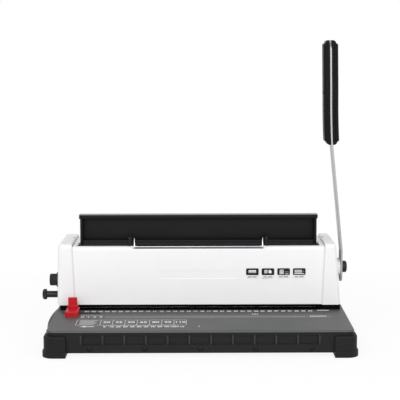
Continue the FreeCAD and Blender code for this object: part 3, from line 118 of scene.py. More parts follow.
class Graph:
    """A node tree that is filled by naming each node with what feeds it."""

    prefix = "ShaderNode"

    def __init__(self, tree: NodeTree) -> None:
        """Keeps the tree that is filled."""
        self.tree = tree

    @classmethod
    def emptied(cls, owner: Material | World) -> "Graph":
        """Empties the nodes of a material or a world.

        Args:
            owner: the material or the world.

        Returns:
            Its tree, ready to be filled.
        """
        owner.use_nodes = True
        owner.node_tree.nodes.clear()
        return cls(owner.node_tree)

    def node(self, kind: str, feeds: dict | None = None, **settings: object) -> Node:
        """Adds one node.

        Args:
            kind: the node's type, without the prefix that most nodes of the tree share.
            feeds: a value, an output or a list of outputs for each input, by name or place.
            settings: the node's own options.

        Returns:
            The new node.
        """
        made = self.tree.nodes.new(kind if "Node" in kind else self.prefix + kind)
        for key, value in settings.items():
            setattr(made, key, value)
        for key, value in (feeds or {}).items():
            sources = value if isinstance(value, list) else [value]
            if isinstance(sources[0], NodeSocket):
                for source in sources:
                    self.tree.links.new(source, made.inputs[key])
            else:
                made.inputs[key].default_value = value
        return made

    def out(self, kind: str, feeds: dict | None = None, **settings: object) -> NodeSocket:
        """Adds one node and gives its first output."""
        return self.node(kind, feeds, **settings).outputs[0]


class Grain(Enum):
    """Which way the fine relief of a surface runs, as its stretch along X, Y and Z."""

    EVEN = (1.0, 1.0, 1.0)
    ALONG_X = (0.03, 1.0, 1.0)
    ALONG_Z = (1.0, 1.0, 0.03)


def linear(channel: float) -> float:
    """Turns one colour channel from a paint chart's 0 to 255 into light."""
    share = channel / 255
    return share / 12.92 if share <= 0.04045 else ((share + 0.055) / 1.055) ** 2.4


@dataclass(frozen=True)
class Finish:
    """One surface finish, laid over the object's own coordinates.

    Attributes:
        name: the material's name.
        colour: the paint chart colour, 0 to 255.
        roughness: the middle of the roughness.
        metallic: 1 for bare metal.
        variation: how far the colour strays either way, as a share.
        patch: how many patches of colour there are in a metre.
        grain: which way the fine relief runs.
        pitch: how many bumps there are in a metre.
        depth: the height of the bumps in metres.
        specular: the specular level.
    """

    name: str
    colour: tuple[int, int, int]
    roughness: float
    metallic: float = 0.0
    variation: float = 0.05
    patch: float = 30.0
    grain: Grain = Grain.EVEN
    pitch: float = 900.0
    depth: float = 0.00003
    specular: float = 0.5

    def material(self) -> Material:
        """Builds the material, or finds it where it is built already.

        Returns:
            The material.
        """
        label = self.name + "_finish"
        found = bpy.data.materials.get(label)
        if found:
            return found
        made = bpy.data.materials.new(label)
        graph = Graph.emptied(made)
        place = graph.node("TexCoord").outputs["Object"]
        lie = graph.out("Mapping", {"Vector": place, "Scale": self.grain.value})
        patches = graph.out("TexNoise", {"Vector": lie, "Scale": self.patch, "Detail": 4.0})
        bumps = graph.out("TexNoise", {"Vector": lie, "Scale": self.pitch, "Detail": 3.0})
        base = [linear(channel) for channel in self.colour]
        dark = (*[level * (1 - self.variation) for level in base], 1.0)
        light = (*[min(0.95, level * (1 + self.variation)) for level in base], 1.0)
        blend = graph.out("MapRange", {"Value": patches} | NOISE_RANGE)
        colour = graph.node("Mix", {0: blend, 6: dark, 7: light}, data_type="RGBA").outputs[2]
        ends = {
            "To Min": max(0.05, self.roughness - ROUGH_SPREAD),
            "To Max": min(1.0, self.roughness + ROUGH_SPREAD),
        }
        shader = graph.out("BsdfPrincipled", {
            "Base Color": colour,
            "Metallic": self.metallic,
            "Roughness": graph.out("MapRange", {"Value": bumps} | NOISE_RANGE | ends),
            "Normal": graph.out("Bump", {"Strength": 1.0, "Distance": self.depth, "Height": bumps}),
            "Specular IOR Level": self.specular,
        })
        graph.node("OutputMaterial", {"Surface": shader})
        return made


HOUSING_WHITE = Finish("housing_white", (241, 241, 242), 0.42, variation=0.012, pitch=1400, depth=0.00004)
CAP_WHITE = Finish("cap_white", (239, 239, 240), 0.33, variation=0.012, pitch=700, depth=0.00002)
# A charcoal grey for the table, lighter than the black base: partly its own colour, partly painted sheen of
# grazing light on its top.
TABLE_BLACK_AND_SHEEN = Finish("table_black", (74, 75, 76), 0.5, pitch=1600, depth=0.00010)
STRIPE_GREY = Finish("stripe_grey", (90, 91, 92), 0.5, variation=0.04, pitch=1600, depth=0.00004)
BASE_BLACK = Finish("base_black", (23, 23, 24), 0.52, variation=0.06, pitch=1500, depth=0.00008, specular=0.2)
# A lighter black for the apron's rib beads: painted highlight on the ribs.
RIB_HIGHLIGHT_BLACK = Finish("rib_highlight_black", (44, 44, 45), 0.5, pitch=1500, depth=0.00005, specular=0.3)
SHOE_RUBBER = Finish("shoe_rubber", (22, 22, 23), 0.6, variation=0.1, pitch=1100, depth=0.00008, specular=0.2)
DRAWER_BLACK = Finish("drawer_black", (30, 30, 31), 0.4, pitch=1300, depth=0.00004, specular=0.3)
CLOSER_BLACK = Finish(
    "closer_black", (17, 17, 18), 0.42, variation=0.06, pitch=1500, depth=0.00006, specular=0.14
)
# A lighter, glossier grey for the closer's top faces: painted sheen of grazing light on the black flange.
CLOSER_TOP_SHEEN = Finish("closer_top_sheen", (52, 52, 53), 0.26, variation=0.04, pitch=1500, specular=0.7)
JAW_BLACK = Finish("jaw_black", (15, 15, 16), 0.4, variation=0.06, pitch=1300, depth=0.00005, specular=0.2)
GUIDE_RED = Finish("guide_red", (184, 8, 24), 0.35, pitch=500, specular=0.3)
GRIP_BLACK = Finish("grip_black", (5, 5, 6), 0.42, variation=0.06, pitch=1300, specular=0.14)
KNOB_BLACK = Finish("knob_black", (26, 26, 27), 0.36, variation=0.06, depth=0.00004, specular=0.25)
BADGE_BLACK = Finish("badge_black", (18, 18, 19), 0.35, variation=0.06, depth=0.00002, specular=0.25)
# A mid grey for the badges' bars and signs and the dial's numbers, also laid under the bail wire as painted
# shadow.
BADGE_GREY_AND_SHADE = Finish("badge_grey", (128, 128, 130), 0.5, patch=300, depth=0.00002)
# A soft grey laid over the housing's seams: painted shade of the rounded edges at the seams.
SEAM_SHADE_GREY = Finish("seam_shade_grey", (220, 220, 221), 0.5, variation=0.02, pitch=1200)
BAR_PLATED = Finish("bar_plated", (158, 159, 162), 0.34, 1.0, grain=Grain.ALONG_Z, depth=0.00002)
BAIL_PLATED = Finish("bail_plated", (205, 206, 210), 0.2, 1.0, variation=0.04, pitch=400, depth=0.00001)
STEEL_BRIGHT = Finish(
    "steel_bright", (178, 179, 182), 0.3, 1.0, 0.06, grain=Grain.ALONG_X, pitch=700, depth=0.00002
)
# Dark steel for screw heads and rivets, also laid on the handle bar's inner face as painted shade.
STEEL_DARK_AND_SHADE = Finish("steel_dark", (60, 60, 61), 0.38, 1.0, variation=0.1, pitch=600)
STEEL_ZINC = Finish("steel_zinc", (168, 170, 170), 0.42, 1.0, variation=0.09, patch=80, pitch=500)
BUSH_BRASS = Finish("bush_brass", (190, 158, 98), 0.33, 1.0, variation=0.08, pitch=500, depth=0.00002)
SPRING_STEEL = Finish("spring_steel", (140, 141, 146), 0.3, 1.0, variation=0.08, pitch=600, depth=0.00002)
ROD_BLACK = Finish("rod_black", (40, 40, 43), 0.3, 0.8, 0.08, grain=Grain.ALONG_X, pitch=700, depth=0.00002)
# Near-black for the tool parts, also laid in the table's slot and on the sills as painted shade of the
# throat.
TOOL_BLACK_AND_SHADE = Finish("tool_black", (7, 7, 8), 0.7, variation=0.08, specular=0.04)
PRINT_WHITE = Finish("print_white", (234, 234, 234), 0.6, patch=400, pitch=2000)

# The finish of each of the record's slots, which mostly bears the slot's name
SLOT_FINISH = {"cover_white": HOUSING_WHITE} | {
    finish.name: finish
    for finish in (
        CAP_WHITE, TABLE_BLACK_AND_SHEEN, BASE_BLACK, SHOE_RUBBER, DRAWER_BLACK, CLOSER_BLACK, JAW_BLACK, GUIDE_RED,
        GRIP_BLACK, KNOB_BLACK, BADGE_BLACK, BAR_PLATED, BAIL_PLATED, STEEL_BRIGHT, TOOL_BLACK_AND_SHADE, STEEL_DARK_AND_SHADE,
        STEEL_ZINC, BUSH_BRASS, SPRING_STEEL, ROD_BLACK,
    )
}
SLOT_OF = {part["node"]: part["material_slot"] for part in frame["record"]["subparts"]}


class Axis(Enum):
    """The axis that a section is pushed or turned along."""

    X = "x"
    Y = "y"
    Z = "z"

    def place(self, along: float, across: float, up: float) -> Vector:
        """Turns a distance along the axis and a place in the section into x, y and z."""
        orders = {Axis.X: (along, across, up), Axis.Y: (across, along, up), Axis.Z: (across, up, along)}
        return Vector(orders[self])


def shown(name: str, data: Mesh | bpy.types.ID) -> Object:
    """Puts a mesh, a text, a lamp or a camera into the scene.

    Args:
        name: the object's name.
        data: what it holds.

    Returns:
        The object, at the origin.
    """
    thing = bpy.data.objects.new(name, data)
    bpy.context.scene.collection.objects.link(thing)
    return thing


def evaluated(holder: Object) -> Mesh:
    """Turns an object with its modifiers, or a text, into a plain mesh, and takes the object away.

    Args:
        holder: the object.

    Returns:
        The plain mesh.
    """
    view = bpy.context.evaluated_depsgraph_get()
    view.update()
    mesh = bpy.data.meshes.new_from_object(holder.evaluated_get(view))
    bpy.data.objects.remove(holder)
    return mesh


def fitted(piece: Object, body: str, slot: str, *nodes: str) -> Object:
    """Makes a piece part of the machine.

    Args:
        piece: the piece.
        body: the body that it moves with.
        slot: the record's slot that its finish belongs to; not used.
        nodes: the nodes that it stands for.

    Returns:
        The piece.
    """
    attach(piece, body)
    if nodes:
        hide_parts(*nodes)
    log.info("%s on %s: %d faces", piece.name, body, len(piece.data.polygons))
    return piece


def rectangle(left: float, right: float, low: float, high: float) -> Outline:
    """Gives the corners of a rectangle."""
    return [(left, low), (right, low), (right, high), (left, high)]


def rounded_rectangle(left: float, right: float, low: float, high: float, radius: float) -> Outline:
    """Gives a rectangle with rounded corners.

    Args:
        left: its left side.
        right: its right side.
        low: its lower side.
        high: its upper side.
        radius: the corners' radius.

    Returns:
        The outline's points in order.
    """
    corners = ((right, high, -1, -1), (left, high, 1, -1), (left, low, 1, 1), (right, low, -1, 1))
    points = []
    for quarter, (x, z, inward_x, inward_z) in enumerate(corners):
        for step in range(CORNER_STEPS + 1):
            turn = math.pi / 2 * (quarter + step / CORNER_STEPS)
            points.append((
                x + inward_x * radius + radius * math.cos(turn),
                z + inward_z * radius + radius * math.sin(turn),
            ))
    return points


class Blank:
    """A mesh in the making, in the drawing's millimetres."""

    cap_share = 0.72
    curve_steps = 3
    merge = 0.0005
    sharp_edge = 0.7

    def __init__(self, *finishes: Finish) -> None:
        """Starts empty, with the finishes that its parts may have, the main one first."""
        self.work = bmesh.new()
        self.finishes = finishes

    def take(self, mesh: Mesh, finish: Finish | None = None) -> None:
        """Adds a mesh that is drawn in the same millimetres.

        Args:
            mesh: the mesh, which is used up.
            finish: its finish, or None for the main one.
        """
        index = self.finishes.index(finish) if finish else 0
        for face in mesh.polygons:
            face.material_index = index
        self.work.from_mesh(mesh)
        bpy.data.meshes.remove(mesh)

    def add(self, shape: bmesh.types.BMesh, bevel: float, finish: Finish | None) -> None:
        """Closes a shape, bevels its sharp edges and adds it.

        Args:
            shape: the shape, which is used up.
            bevel: the bevel's width.
            finish: its finish, or None for the main one.
        """
        bmesh.ops.remove_doubles(shape, verts=shape.verts, dist=self.merge)
        bmesh.ops.recalc_face_normals(shape, faces=shape.faces)
        if bevel:
            sharp = [edge for edge in shape.edges if edge.calc_face_angle(0.0) > self.sharp_edge]
            bmesh.ops.bevel(
                shape, geom=sharp, offset=bevel, segments=BEVEL_STEPS, profile=0.5, affect="EDGES"
            )
        mesh = bpy.data.meshes.new("shape")
        shape.to_mesh(mesh)
        shape.free()
        self.take(mesh, finish)

    def prism(
        self, axis: Axis, outline: Outline, low: float, high: float, bevel: float = 0.0,
        finish: Finish | None = None,
    ) -> None:
        """Adds a solid whose section is an outline.

        Args:
            axis: what the section is pushed along.
            outline: the section's corners in order.
            low: where it starts on the axis.
            high: where it ends.
            bevel: the bevel's width.
            finish: its finish, or None for the main one.
        """
        shape = bmesh.new()
        ends = [[shape.verts.new(axis.place(end, *corner)) for corner in outline] for end in (low, high)]
        for end in ends:
            shape.faces.new(end)
        for index in range(len(outline)):
            shape.faces.new((ends[0][index - 1], ends[0][index], ends[1][index], ends[1][index - 1]))
        self.add(shape, bevel, finish)

    def box(self, low: Corner, high: Corner, bevel: float = 0.0, finish: Finish | None = None) -> None:
        """Adds a box between its lowest and highest corners."""
        self.prism(Axis.Z, rectangle(low[0], high[0], low[1], high[1]), low[2], high[2], bevel, finish)

    def turned(self, axis: Axis, profile: Outline, middle: Pair) -> None:
        """Adds a solid that is turned about an axis.

        Args:
            axis: the axis.
            profile: places along the axis with their radius, from end to end, where 0 is on the axis.
            middle: where the axis stands.
        """
        shape = bmesh.new()
        turns = [2 * math.pi * step / TURN_STEPS for step in range(TURN_STEPS)]
        rings = []
        for along, radius in profile:
            ring = [
                (middle[0] + radius * math.cos(turn), middle[1] + radius * math.sin(turn)) for turn in turns
            ]
            rings.append([shape.verts.new(axis.place(along, *place)) for place in ring])
        for first, second in zip(rings, rings[1:]):
            for step in range(TURN_STEPS):
                shape.faces.new((first[step - 1], first[step], second[step], second[step - 1]))
        self.add(shape, 0.0, None)

    def words(
        self, text: str, high: float, place: Corner, turn: Corner = (0, 0, 0), bold: float = 0.0,
        narrow: float = 1.0, thick: float = 0.08,
    ) -> None:
        """Adds plain numbers.

        Args:
            text: what it says.
            high: how high a number is.
            place: the middle of its foot on the surface.
            turn: how it is turned from lying face up, in degrees.
            bold: how far the strokes grow.
            narrow: the share of its usual width.
            thick: how far it stands out of the surface.
        """
        data = bpy.data.curves.new("numbers", "FONT")
        data.body = text
        data.size = high / self.cap_share
        data.extrude = thick
        data.offset = bold
        data.resolution_u = self.curve_steps
        data.align_x = data.align_y = "CENTER"
        mesh = evaluated(shown("numbers", data))
        turned = Euler([math.radians(angle) for angle in turn]).to_matrix().to_4x4()
        mesh.transform(Matrix.Translation(place) @ turned @ Matrix.Diagonal((narrow, 1, 1, 1)))
        shape = bmesh.new()
        shape.from_mesh(mesh)
        bpy.data.meshes.remove(mesh)
        self.add(shape, 0.0, None)

    def piece(self, name: str, body: str, slot: str, *nodes: str, smooth: float = SHARP_ANGLE) -> Object:
        """Brings the mesh into the frame as one piece.

        Args:
            name: the piece's name.
            body: the body that it moves with.
            slot: the record's slot that its finish belongs to.
            nodes: the nodes that it stands for.
            smooth: the angle, in degrees, over which an edge stays sharp.

        Returns:
            The piece.
        """
        for corner in self.work.verts:
            corner.co = at(*corner.co)
        mesh = bpy.data.meshes.new(name)
        self.work.to_mesh(mesh)
        self.work.free()
        for finish in self.finishes:
            mesh.materials.append(finish.material())
        mesh.shade_smooth()
        mesh.set_sharp_from_angle(angle=math.radians(smooth))
        return fitted(shown(name, mesh), body, slot, *nodes)


def softened(node: str, width: float, finish: Finish | None = None, held: bool = False) -> Object:
    """Stands a copy with softened edges in for a node of the frame.

    Args:
        node: the node.
        width: how wide the softened edges are, in millimetres.
        finish: its finish, or None for that of its slot.
        held: whether the softened edges stay clear of each other.

    Returns:
        The piece.
    """
    work = bmesh.new()
    work.from_mesh(frame["nodes"][node].data)
    bmesh.ops.remove_doubles(work, verts=work.verts, dist=2e-6)
    bmesh.ops.dissolve_limit(work, angle_limit=math.radians(0.6), verts=work.verts, edges=work.edges)
    mesh = bpy.data.meshes.new(node)
    work.to_mesh(mesh)
    work.free()
    mesh.shade_smooth()
    holder = shown(node + "_raw", mesh)
    edge = holder.modifiers.new("edge", "BEVEL")
    edge.width = width / MM
    edge.segments = BEVEL_STEPS
    edge.limit_method = "ANGLE"
    edge.angle_limit = math.radians(40)
    edge.use_clamp_overlap = held
    even = holder.modifiers.new("even", "WEIGHTED_NORMAL")
    even.keep_sharp = False
    mesh = evaluated(holder)
    mesh.materials.clear()
    mesh.materials.append((finish or SLOT_FINISH[SLOT_OF[node]]).material())
    for face in mesh.polygons:
        face.material_index = 0
    body = body_of(frame["nodes"][node])[0]
    return fitted(shown(node + "_soft", mesh), body, SLOT_OF[node], node)


def nudge(piece: Object, shift: Callable[[float, float, float], Corner]) -> None:
    """Moves the corners of a piece a little.

    Args:
        piece: the piece.
        shift: gives each corner's move from its place in the drawing, both in millimetres.
    """
    for corner in piece.data.vertices:
        x, y, z = corner.co * MM
        corner.co += Vector(shift(x - ZERO_X, y - ZERO_Y, z)) / MM


def share_of(value: float, start: float, end: float) -> float:
    """Gives how far a value has come from a start to an end, from 0 to 1."""
    return min(1.0, max(0.0, (value - start) / (end - start)))


def repaint(piece: Object, finish: Finish, low: Corner, high: Corner, facing: Corner | None = None) -> None:
    """Gives another finish to those faces of a piece that lie in a box and look one way.

    Args:
        piece: the piece.
        finish: the finish.
        low: the box's lowest corner in the drawing.
        high: its highest corner.
        facing: the way that the faces look, or None for any.
    """
    piece.data.materials.append(finish.material())
    start, end = at(*low), at(*high)
    for face in piece.data.polygons:
        inside = all(first <= middle <= last for first, middle, last in zip(start, face.center, end))
        if inside and (facing is None or face.normal.dot(Vector(facing)) > 0.7):
            face.material_index = len(piece.data.materials) - 1


class Recipe(Graph):
    """A geometry tree with named inputs, for what repeats or follows a line."""

    prefix = "GeometryNode"

    def __init__(self, name: str, **inputs: str) -> None:
        """Starts the tree.

        Args:
            name: the tree's name.
            inputs: the kind of each named input, such as Float.
        """
        super().__init__(bpy.data.node_groups.new(name, "GeometryNodeTree"))
        self.tree.interface.new_socket("Geometry", in_out="OUTPUT", socket_type="NodeSocketGeometry")
        for label, kind in ({"Geometry": "Geometry"} | inputs | {"Finish": "Material"}).items():
            self.tree.interface.new_socket(label, in_out="INPUT", socket_type="NodeSocket" + kind)
        self.entry = self.tree.nodes.new("NodeGroupInput")
        self.exit = self.tree.nodes.new("NodeGroupOutput")

    def given(self, label: str) -> NodeSocket:
        """Gives the value of a named input."""
        return self.entry.outputs[label]

    def share(self, value: NodeSocket, factor: float) -> NodeSocket:
        """Gives a share of a value."""
        return self.out("ShaderNodeMath", {0: value, 1: factor}, operation="MULTIPLY")

    def drum(self, sides: int, depth: NodeSocket) -> Node:
        """Makes an upright drum, as thick as the input named Radius says."""
        return self.node("MeshCylinder", {"Vertices": sides, "Radius": self.given("Radius"), "Depth": depth})

    def stepped(
        self, mesh: NodeSocket, top: NodeSocket, high: NodeSocket, steps: tuple[Pair, ...]
    ) -> NodeSocket:
        """Raises the faces on top in steps and makes them smaller, as a turned edge does.

        Args:
            mesh: the mesh.
            top: which faces are raised.
            high: what the steps' height follows.
            steps: each step's rise, as a share of that height, and the share of the size that is left.

        Returns:
            The mesh.
        """
        for rise, shrink in steps:
            feeds = {
                "Mesh": mesh, "Selection": top, "Offset Scale": self.share(high, rise), "Individual": False,
            }
            raised = self.node("ExtrudeMesh", feeds, mode="FACES")
            top = raised.outputs["Top"]
            feeds = {"Geometry": raised.outputs["Mesh"], "Selection": top, "Scale": shrink}
            mesh = self.out("ScaleElements", feeds, domain="FACE")
        return mesh

    def rounded_line(self, bend_steps: int) -> NodeSocket:
        """Turns the line that comes in into a curve with round bends.

        Args:
            bend_steps: how many steps a bend has.

        Returns:
            The curve.
        """
        curve = self.out("MeshToCurve", {"Mesh": self.given("Geometry")})
        feeds = {"Curve": curve, 1: bend_steps, "Radius": self.given("Bend"), "Limit Radius": True}
        return self.out("FilletCurve", feeds, mode="POLY")

    def swept(
        self, curve: NodeSocket, sides: int, radius: NodeSocket | float, **more: NodeSocket
    ) -> NodeSocket:
        """Makes a curve into a round wire.

        Args:
            curve: the curve.
            sides: how many sides the wire has.
            radius: its half thickness.
            more: further inputs of the sweep.

        Returns:
            The wire.
        """
        section = self.out("CurvePrimitiveCircle", {"Resolution": sides, "Radius": radius})
        return self.out("CurveToMesh", {"Curve": curve, "Profile Curve": section, "Fill Caps": True} | more)

    def set_out(self, shape: NodeSocket) -> NodeSocket:
        """Sets a shape out on the points that come in, turned as the input named Turn says.

        Args:
            shape: the shape.

        Returns:
            The shape on every point.
        """
        facing = self.out("FunctionNodeEulerToRotation", {0: self.given("Turn")})
        feeds = {"Points": self.given("Geometry"), "Instance": shape, "Rotation": facing}
        return self.out("InstanceOnPoints", feeds)

    def end(self, geometry: NodeSocket) -> None:
        """Ends the tree: what is repeated is made real and gets its finish.

        Args:
            geometry: what the tree has made.
        """
        real = self.out("RealizeInstances", {"Geometry": geometry})
        finished = self.out("SetMaterial", {"Geometry": real, "Material": self.given("Finish")})
        self.tree.links.new(finished, self.exit.inputs[0])

    def mesh(self, start: Mesh, finish: Finish, **values: float | int | Corner) -> Mesh:
        """Runs the tree once.

        Args:
            start: the points or lines that it works on.
            finish: the finish.
            values: a value for each named input.

        Returns:
            The plain mesh.
        """
        holder = shown(self.tree.name, start)
        run = holder.modifiers.new("recipe", "NODES")
        run.node_group = self.tree
        wanted = dict(values, Finish=finish.material())
        for socket in self.tree.interface.items_tree:
            if socket.in_out == "INPUT" and socket.name in wanted:
                run[socket.identifier] = wanted[socket.name]
        return evaluated(holder)

    def piece(
        self, start: Mesh, finish: Finish, *place: str, smooth: float = SHARP_ANGLE,
        **values: float | int | Corner,
    ) -> Object:
        """Runs the tree once and brings what it makes into the frame as one piece.

        Args:
            start: the points or lines that it works on.
            finish: the finish.
            place: the piece's name, its body, its slot and the nodes that it stands for.
            smooth: the angle, in degrees, over which an edge stays sharp.
            values: a value for each named input.

        Returns:
            The piece.
        """
        blank = Blank(finish)
        blank.take(self.mesh(start, finish, **values))
        return blank.piece(*place, smooth=smooth)


def line_mesh(places: list[Corner], joins: list[tuple[int, int]] | None = None) -> Mesh:
    """Makes a mesh of loose points, or of a line.

    Args:
        places: the points.
        joins: the pairs of points that the line joins.

    Returns:
        The mesh.
    """
    mesh = bpy.data.meshes.new("line")
    mesh.from_pydata(places, joins or [], [])
    return mesh


class ScrewHeads(Recipe):
    """Screw heads with a cross recess, set out on points."""

    def __init__(self) -> None:
        """Builds the tree."""
        super().__init__("screw_heads", Radius="Float", Height="Float", Recess="Float", Turn="Vector")
        height, recess = self.given("Height"), self.given("Recess")
        drum = self.drum(28, self.share(height, 1.2))
        mesh = self.stepped(drum.outputs["Mesh"], drum.outputs["Top"], height, ((0.22, 0.92), (0.12, 0.86)))
        arm = self.share(recess, 0.3)
        lift = self.out("ShaderNodeCombineXYZ", {2: self.share(height, 0.95)})
        cutters = []
        for long_way, short_way in ((recess, arm), (arm, recess)):
            size = self.out("ShaderNodeCombineXYZ", {0: long_way, 1: short_way, 2: self.share(height, 1.1)})
            cutter = self.out("MeshCube", {"Size": size})
            cutters.append(self.out("Transform", {"Geometry": cutter, "Translation": lift}))
        cross = self.out("MeshBoolean", {"Mesh 2": cutters}, operation="UNION")
        head = self.out("MeshBoolean", {"Mesh 1": mesh, "Mesh 2": [cross]}, operation="DIFFERENCE")
        self.end(self.set_out(head))


class DomedRods(Recipe):
    """Round rods that are domed at both ends, set out on their middles."""

    def __init__(self, name: str, sides: int, high: str, steps: tuple[Pair, ...]) -> None:
        """Builds the tree.

        Args:
            name: its name.
            sides: how many sides a rod has.
            high: the named input that the domes' height follows.
            steps: the domes' steps.
        """
        super().__init__(name, Radius="Float", Length="Float", Dome="Float", Turn="Vector")
        drum = self.drum(sides, self.given("Length"))
        mesh = drum.outputs["Mesh"]
        for end in ("Top", "Bottom"):
            mesh = self.stepped(mesh, drum.outputs[end], self.given(high), steps)
        self.end(self.set_out(mesh))


class Marks(Recipe):
    """A row of flat marks at an even pitch."""

    def __init__(self) -> None:
        """Builds the tree."""
        super().__init__("marks", Count="Int", Start="Vector", Step="Vector", Size="Vector")
        feeds = {
            "Count": self.given("Count"), "Start Location": self.given("Start"), "Offset": self.given("Step"),
        }
        line = self.out("MeshLine", feeds, mode="OFFSET")
        mark = self.out("MeshCube", {"Size": self.given("Size")})
        self.end(self.out("InstanceOnPoints", {"Points": line, "Instance": mark}))


class BentSheet(Recipe):
    """A bent sheet: an outline with rounded bends, pushed along X."""

    def __init__(self) -> None:
        """Builds the tree."""
        super().__init__("bent_sheet", Bend="Float", Length="Float")
        flat = self.out("FillCurve", {"Curve": self.rounded_line(4)}, mode="NGONS")
        along = self.out("ShaderNodeCombineXYZ", {2: self.given("Length")})
        pushed = self.out("ExtrudeMesh", {"Mesh": flat, "Offset": along, "Individual": False}, mode="FACES")
        both = self.out("JoinGeometry", {"Geometry": [pushed, self.out("FlipFaces", {"Mesh": flat})]})
        whole = self.out("MergeByDistance", {"Geometry": both, "Distance": Blank.merge})
        self.end(self.out("Transform", {"Geometry": whole, "Rotation": Euler((math.pi / 2, 0, math.pi / 2))}))


class BentWire(Recipe):
    """A bent wire, whose thickness follows the line's own."""

    def __init__(self) -> None:
        """Builds the tree."""
        super().__init__("bent_wire", Bend="Float")
        thick = self.out("InputNamedAttribute", {"Name": "thick"}, data_type="FLOAT")
        self.end(self.swept(self.rounded_line(6), 16, 1.0, Scale=thick))


class Coils(Recipe):
    """Upright coils of wire, set out on their lower ends."""

    def __init__(self) -> None:
        """Builds the tree."""
        super().__init__("coils", Turns="Float", Radius="Float", Wire="Float", Height="Float", Turn="Vector")
        radius = self.given("Radius")
        spiral = self.out("CurveSpiral", {
            "Resolution": 20, "Rotations": self.given("Turns"), "Start Radius": radius, "End Radius": radius,
            "Height": self.given("Height"),
        })
        self.end(self.set_out(self.swept(spiral, 10, self.given("Wire"))))


@dataclass
class Recipes:
    """The geometry trees, each built once."""

    heads: Recipe = field(default_factory=ScrewHeads)
    rivets: Recipe = field(
        default_factory=lambda: DomedRods("domed_rivets", 28, "Dome", ((0.5, 0.84), (0.3, 0.76), (0.2, 0.5)))
    )
    beads: Recipe = field(default_factory=lambda: DomedRods("beads", 16, "Radius", ((0.5, 0.8), (0.3, 0.5))))
    marks: Recipe = field(default_factory=Marks)
    sheet: Recipe = field(default_factory=BentSheet)
    wire: Recipe = field(default_factory=BentWire)
    coils: Recipe = field(default_factory=Coils)


@dataclass
class Studio:
    """The floor, the light and the camera, in metres."""

    floor_half: float = 3.0
    floor_z: float = -0.0002
    floor_grey: Pair = (0.12, 0.14)
    floor_fade: Pair = (0.3, 0.6)
    floor_glow: float = 0.88
    bounce: Area = (0.85, 0.85, 0.85, 1)
    room_light: float = 0.54
    lens: float = 108.5
    sensor: float = 36
    view_range: Pair = (0.05, 50)
    camera_place: Corner = (0.00664, -1.4858, 0.36075)
    pitch: float = 7.251
    roll: float = -0.163
    lamp_aim: Corner = (0, 0, 0.1)
    lamps: tuple[tuple[str, Corner, float, float], ...] = (
        ("key_lamp", (-0.7, -1.6, 1.5), 1.8, 17),
        ("fill_lamp", (1.2, -1.3, 1.1), 1.8, 7),
        ("front_lamp", (0.0, -2.2, 0.35), 2.4, 22),
    )

    def floor(self) -> None:
        """Lays the pale floor, which keeps the machine's shadow."""
        half = self.floor_half
        mesh = bpy.data.meshes.new("floor")
        corners = [(x, y, self.floor_z) for x, y in rectangle(-half, half, -half, half)]
        mesh.from_pydata(corners, [], [(0, 1, 2, 3)])
        floor = shown("floor", mesh)
        made = bpy.data.materials.new("floor_pale")
        graph = Graph.emptied(made)
        ray = graph.node("LightPath").outputs
        place = graph.node("TexCoord").outputs["Object"]
        away = graph.node("VectorMath", {0: place}, operation="LENGTH").outputs["Value"]
        feeds = {"Value": away, "From Min": self.floor_fade[0], "From Max": self.floor_fade[1]}
        fade = graph.out("MapRange", feeds, interpolation_type="SMOOTHSTEP")
        grain = graph.out("TexNoise", {"Vector": place, "Scale": 60.0})
        dark, light = self.floor_grey
        tint = graph.out("MapRange", {"Value": grain, "To Min": dark, "To Max": light})
        catch = graph.out("BsdfDiffuse", {"Color": tint})
        glow = graph.out("Emission", {"Color": WHITE, "Strength": self.floor_glow})
        shaded = graph.out("AddShader", {0: catch, 1: glow})
        white = graph.out("Emission", {"Color": WHITE, "Strength": 1.0})
        seen = graph.out("MixShader", {0: fade, 1: shaded, 2: white})
        plain = graph.out("BsdfDiffuse", {"Color": self.bounce})
        direct = graph.out("Math", {0: ray["Is Camera Ray"], 1: ray["Is Glossy Ray"]}, operation="MAXIMUM")
        graph.node("OutputMaterial", {"Surface": graph.out("MixShader", {0: direct, 1: plain, 2: seen})})
        mesh.materials.append(made)

    def world(self) -> None:
        """Sets a white background that lights the machine softly."""
        world = bpy.data.worlds.new("studio")
        bpy.context.scene.world = world
        graph = Graph.emptied(world)
        ray = graph.node("LightPath").outputs
        direct = graph.out("Math", {0: ray["Is Camera Ray"], 1: ray["Is Glossy Ray"]}, operation="MAXIMUM")
        seen = graph.out("Math", {0: direct, 1: ray["Is Transmission Ray"]}, operation="MAXIMUM")
        level = graph.out("MapRange", {"Value": seen, "To Min": self.room_light, "To Max": 1.0})
        graph.node("OutputWorld", {"Surface": graph.out("Background", {"Color": WHITE, "Strength": level})})

    def light(self) -> None:
        """Hangs the soft lamps, which face the machine."""
        for name, place, size, power in self.lamps:
            data = bpy.data.lights.new(name, "AREA")
            data.size = size
            data.energy = power
            lamp = shown(name, data)
            lamp.location = place
            lamp.rotation_euler = (Vector(self.lamp_aim) - lamp.location).to_track_quat("-Z", "Y").to_euler()

    def camera(self) -> None:
        """Stands the camera where the photographer stood."""
        data = bpy.data.cameras.new("camera")
        data.lens = self.lens
        data.sensor_width = self.sensor
        data.clip_start, data.clip_end = self.view_range
        camera = shown("camera", data)
        tilt = Matrix.Rotation(math.radians(90 - self.pitch), 4, "X")
        roll = Matrix.Rotation(math.radians(self.roll), 4, "Z")
        camera.matrix_world = Matrix.Translation(self.camera_place) @ tilt @ roll
        bpy.context.scene.camera = camera

    def build(self) -> None:
        """Sets up the whole studio."""
        self.floor()
        self.world()
        self.light()
        self.camera()
        bpy.context.scene.view_settings.view_transform = "Standard"


